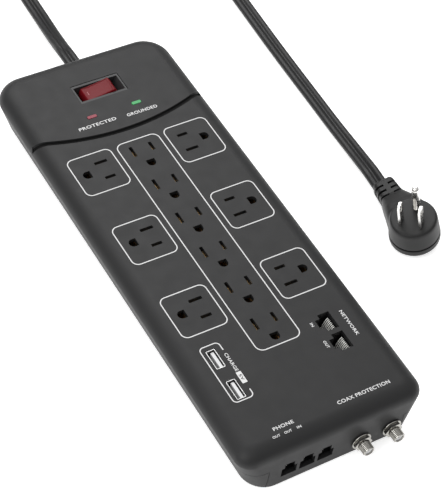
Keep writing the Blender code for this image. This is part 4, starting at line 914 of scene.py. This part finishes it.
# %% A tree that makes a comb of contact wires
comb_tree, given, out = new_tree("contact_comb", [
    ("Count", "NodeSocketInt"), ("Pitch", "NodeSocketVector"), ("Start", "NodeSocketVector"),
    ("Middle", "NodeSocketVector"), ("End", "NodeSocketVector"), ("Radius", "NodeSocketFloat"),
    ("Finish", "NodeSocketMaterial"),
])
row = add_node(comb_tree, "GeometryNodeMeshLine", Count=given["Count"], Offset=given["Pitch"])
bend = add_node(
    comb_tree, "GeometryNodeCurveQuadraticBezier", Resolution=8,
    Start=given["Start"], Middle=given["Middle"], End=given["End"],
)
ridge = add_node(comb_tree, "GeometryNodeCurvePrimitiveCircle", Resolution=8, Radius=given["Radius"])
wire = add_node(
    comb_tree, "GeometryNodeCurveToMesh", Curve=bend.outputs[0], Profile__Curve=ridge.outputs[0], Fill__Caps=True,
)
copies = add_node(comb_tree, "GeometryNodeInstanceOnPoints", Points=row.outputs[0], Instance=wire.outputs[0])
end_tree(comb_tree, copies, given["Finish"], out)

# %% [markdown]
# Brass shows at the bottom of the blade slots. The tree reads a mesh of loose points, one at each slot, and stands a
# pair of leaves on every point. An attribute named turn, stored on the points, says which way each pair faces.

# %% A tree that stands a pair of brass leaves in every slot
leaf_tree, given, out = new_tree("slot_leaves", [
    ("Spots", "NodeSocketObject"), ("Size", "NodeSocketVector"), ("Apart", "NodeSocketFloat"),
    ("Finish", "NodeSocketMaterial"),
])
spots = add_node(leaf_tree, "GeometryNodeObjectInfo", Object=given["Spots"])
leaf = add_node(leaf_tree, "GeometryNodeMeshCube", Size=given["Size"])
offset = add_node(leaf_tree, "ShaderNodeCombineXYZ", Y=given["Apart"])
one = add_node(leaf_tree, "GeometryNodeTransform", Geometry=leaf.outputs[0], Translation=offset.outputs[0])
other = add_node(leaf_tree, "GeometryNodeTransform", Geometry=one.outputs[0], Scale=(1, -1, 1))
flip = add_node(leaf_tree, "GeometryNodeFlipFaces", Mesh=other.outputs[0])
pair = leaf_tree.nodes.new("GeometryNodeJoinGeometry")
for half in (one, flip):
    leaf_tree.links.new(half.outputs[0], pair.inputs[0])
turned_by = add_node(leaf_tree, "GeometryNodeInputNamedAttribute", {"data_type": "FLOAT"}, Name="turn")
facing = add_node(leaf_tree, "ShaderNodeCombineXYZ", Z=turned_by.outputs[0])
copies = add_node(
    leaf_tree, "GeometryNodeInstanceOnPoints", Points=spots.outputs["Geometry"], Instance=pair.outputs[0],
    Rotation=facing.outputs[0],
)
end_tree(leaf_tree, copies, given["Finish"], out)

# %% Leaves in the 24 blade slots
mesh = bpy.data.meshes.new("slot_spots")
slots = []
for x, y, (gx, gy) in OUTLETS:
    for side in (1, -1):
        slots.append((x + side * gy * BLADE_OUT, y - side * gx * BLADE_OUT, 0.0 if gx else math.pi / 2))
mesh.from_pydata([(x * MM, y * MM, 31.75 * MM) for x, y, _ in slots], [], [])
turns = mesh.attributes.new("turn", "FLOAT", "POINT")
for i, (_, _, angle) in enumerate(slots):
    turns.data[i].value = angle
spot_object = bpy.data.objects.new("slot_spots", mesh)
bpy.context.scene.collection.objects.link(spot_object)
leaves = run_tree("slot_leaves", leaf_tree, {
    "Spots": spot_object, "Size": (5.6 * MM, 0.3 * MM, 0.9 * MM), "Apart": 0.62 * MM, "Finish": BRASS,
})
bpy.data.objects.remove(spot_object)
print(len(slots), "slots,", len(leaves.data.polygons), "faces of brass leaf")

# %% Wires in the network and phone jacks
wires = []
for word, y in zip(("in", "out"), NETWORK_YS):
    comb = run_tree(f"network_wires_{word}", comb_tree, {
        "Count": 8, "Pitch": (0, 1.12 * MM, 0), "Radius": 0.3 * MM, "Finish": WIRE,
        "Start": (35.5 * MM, (y - 3.92) * MM, 31.3 * MM), "Middle": (34.0 * MM, (y - 3.92) * MM, 31.2 * MM),
        "End": (31.75 * MM, (y - 3.92) * MM, 24.0 * MM),
    })
    wires.append((comb, f"network_contacts_{word}"))
for number, x in enumerate(PHONE_XS, 1):
    comb = run_tree(f"phone_wires_{number}", comb_tree, {
        "Count": 4, "Pitch": (1.05 * MM, 0, 0), "Radius": 0.2 * MM, "Finish": WIRE,
        "Start": ((x - 1.575) * MM, -152.6 * MM, 7.9 * MM), "Middle": ((x - 1.575) * MM, -150.0 * MM, 8.2 * MM),
        "End": ((x - 1.575) * MM, -143.4 * MM, 10.6 * MM),
    })
    wires.append((comb, f"phone_contacts_{number}"))
print(len(wires), "combs of wire")

# %% [markdown]
# ## Coax jacks
# Each jack is a threaded barrel held by a hex nut on a thin washer. The thread is many turns of one small ridge, so
# another tree repeats a ring along a line. The barrel's end shows white insulation round a small socket.

# %% A tree that repeats thread ridges
thread_tree, given, out = new_tree("thread_ridges", [
    ("Count", "NodeSocketInt"), ("Pitch", "NodeSocketFloat"), ("Radius", "NodeSocketFloat"),
    ("Finish", "NodeSocketMaterial"),
])
spacing = add_node(thread_tree, "ShaderNodeCombineXYZ", Y=given["Pitch"])
row = add_node(thread_tree, "GeometryNodeMeshLine", Count=given["Count"], Offset=spacing.outputs[0])
circle = add_node(thread_tree, "GeometryNodeCurvePrimitiveCircle", Resolution=40, Radius=given["Radius"])
ridge = add_node(thread_tree, "GeometryNodeCurvePrimitiveCircle", Resolution=6, Radius=0.30 * MM)
ring = add_node(thread_tree, "GeometryNodeCurveToMesh", Curve=circle.outputs[0], Profile__Curve=ridge.outputs[0])
upright = add_node(thread_tree, "GeometryNodeTransform", Geometry=ring.outputs[0], Rotation=(math.pi / 2, 0, 0))
copies = add_node(thread_tree, "GeometryNodeInstanceOnPoints", Points=row.outputs[0], Instance=upright.outputs[0])
end_tree(thread_tree, copies, given["Finish"], out)


# %% Barrels, nuts and washers
def spun_y(name, x, z, profile, sides=48):
    """A closed profile of (radius, y) spun round a line along y."""
    build = bmesh.new()
    rings = []
    for radius, y in profile:
        turns = [math.tau * i / sides for i in range(sides)]
        rings.append([Vector((x + radius * math.cos(t), y, z + radius * math.sin(t))) * MM for t in turns])
    bridge(build, rings, closed=True)
    return finish_mesh(build, name)


coax = []
for number, x in enumerate(COAX_XS, 1):
    tip = -157 - 8.8
    barrel = spun_y(f"coax_barrel_skin_{number}", x, COAX_Z, [
        (2.4, tip + 0.2), (2.55, tip), (3.1, tip), (3.32, tip + 0.4), (3.32, -145.6), (2.4, -145.6),
    ])
    paint(barrel, NICKEL)
    filling = spun_y(f"coax_filling_{number}", x, COAX_Z, [
        (0.55, tip + 1.0), (0.65, tip + 0.9), (2.35, tip + 0.9), (2.35, tip + 4.0), (0.55, tip + 4.0),
    ])
    paint(filling, TONGUE_WHITE)
    pip = spun_y(f"coax_socket_{number}", x, COAX_Z, [
        (0.2, tip + 1.4), (0.52, tip + 1.4), (0.52, tip + 3.9), (0.2, tip + 3.9),
    ])
    paint(pip, GOLD)
    thread = run_tree(f"coax_thread_{number}", thread_tree, {
        "Count": 6, "Pitch": 0.85 * MM, "Radius": 3.34 * MM, "Finish": THREAD,
    })
    thread.data.transform(Matrix.Translation((x * MM, (tip + 0.8) * MM, COAX_Z * MM)))
    washer = spun_y(f"coax_washer_{number}", x, COAX_Z, [
        (3.8, -157.35), (6.0, -157.35), (6.1, -157.5), (6.1, -157.95), (6.0, -158.1), (3.8, -158.1),
    ])
    paint(washer, NICKEL)
    build = bmesh.new()
    turns = [math.tau * i / 6 for i in range(6)]
    bridge(build, [
        [Vector(((x + r * math.cos(t)) * MM, y * MM, (COAX_Z + r * math.sin(t)) * MM)) for t in turns]
        for y, r in ((-160.3, 5.0), (-160.0, 5.7), (-158.35, 5.7), (-158.15, 5.5))
    ])
    nut = finish_mesh(build, f"coax_nut_skin_{number}")
    build = bmesh.new()
    round_bar(build, (x * MM, -162 * MM, COAX_Z * MM), 3.7 * MM, 6 * MM, "Y", 40)
    combine(nut, build)
    paint(nut, NICKEL)
    for piece in (barrel, filling, pip, thread):
        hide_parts(f"coax_barrel_{number}")
    for piece in (washer, nut):
        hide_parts(f"coax_nut_{number}")
    coax += [barrel, filling, pip, thread, washer, nut]

# %% [markdown]
# ## What rides on what
# Only the rocker and its mark turn. Everything else belongs to the strip, the cord too.

# %% Bodies, replaced nodes and the cord
for piece in [cover, base, cord, collar, strap, plug_body, leaves] + printed + coax:
    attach(piece, "strip")
for comb, name in wires:
    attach(comb, "strip")
    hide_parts(name)
for piece in (rocker, marks):
    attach(piece, "rocker")
    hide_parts("switch_rocker")
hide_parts("top_cover")
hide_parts("base_cover")
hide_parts("cord_strip_end", "cord_coil", "cord_plug_end")
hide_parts("cord_gland")
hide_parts("coil_tie")
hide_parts("plug_body")

# %% [markdown]
# ## Floor and light
# The strip lies on a plain white floor that glows a little, so that shadows stay faint. The sky is bright overhead
# and darker towards the horizon, which gives rounded edges and metal some contrast. One large soft lamp stands
# behind and a weaker one to the left.

# %% Floor and lamps
build = bmesh.new()
box(build, (-6, -6, -0.02), (6, 6, -0.0002))
floor = finish_mesh(build, "floor", smooth=0)
floor_paint = Paint("pale_floor", roughness=0.9, emission_color=(1.0, 1.0, 1.0), emission_strength=0.55)
floor_paint.set("Base Color", floor_paint.mix(floor_paint.noise(0.4), (0.93, 0.93, 0.93), (0.95, 0.95, 0.95)))
paint(floor, floor_paint.material)
floor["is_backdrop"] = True

world = bpy.data.worlds.new("sky")
world.use_nodes = True
tree = world.node_tree
coords = tree.nodes.new("ShaderNodeTexCoord")
parts = tree.nodes.new("ShaderNodeSeparateXYZ")
ramp = tree.nodes.new("ShaderNodeValToRGB")
stops = ramp.color_ramp.elements
stops.new(0.35)
for stop, (spot, level) in zip(stops, ((0.0, 0.22), (0.35, 0.45), (1.0, 1.15))):
    stop.position, stop.color = spot, (level, level, level, 1)
tree.links.new(coords.outputs["Generated"], parts.inputs[0])
tree.links.new(parts.outputs["Z"], ramp.inputs[0])
tree.links.new(ramp.outputs[0], tree.nodes["Background"].inputs[0])
tree.nodes["Background"].inputs[1].default_value = 0.85
bpy.context.scene.world = world
bpy.context.scene.view_settings.view_transform = "Standard"


def lamp(name, place, aim, size, power):
    light = bpy.data.lights.new(name, "AREA")
    light.shape = "RECTANGLE"
    light.size, light.size_y = size
    light.energy = power
    made = bpy.data.objects.new(name, light)
    made.location = place
    made.rotation_mode = "QUATERNION"
    made.rotation_quaternion = (Vector(aim) - Vector(place)).to_track_quat("-Z", "Y")
    bpy.context.scene.collection.objects.link(made)


lamp("soft_back", (0.3, 1.3, 1.5), (0, 0, 0), (1.6, 1.0), 22)
lamp("soft_left", (-1.4, -0.3, 1.2), (0, 0, 0), (1.0, 1.4), 14)
print("lamps and floor placed")

# %% Finish
low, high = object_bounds()
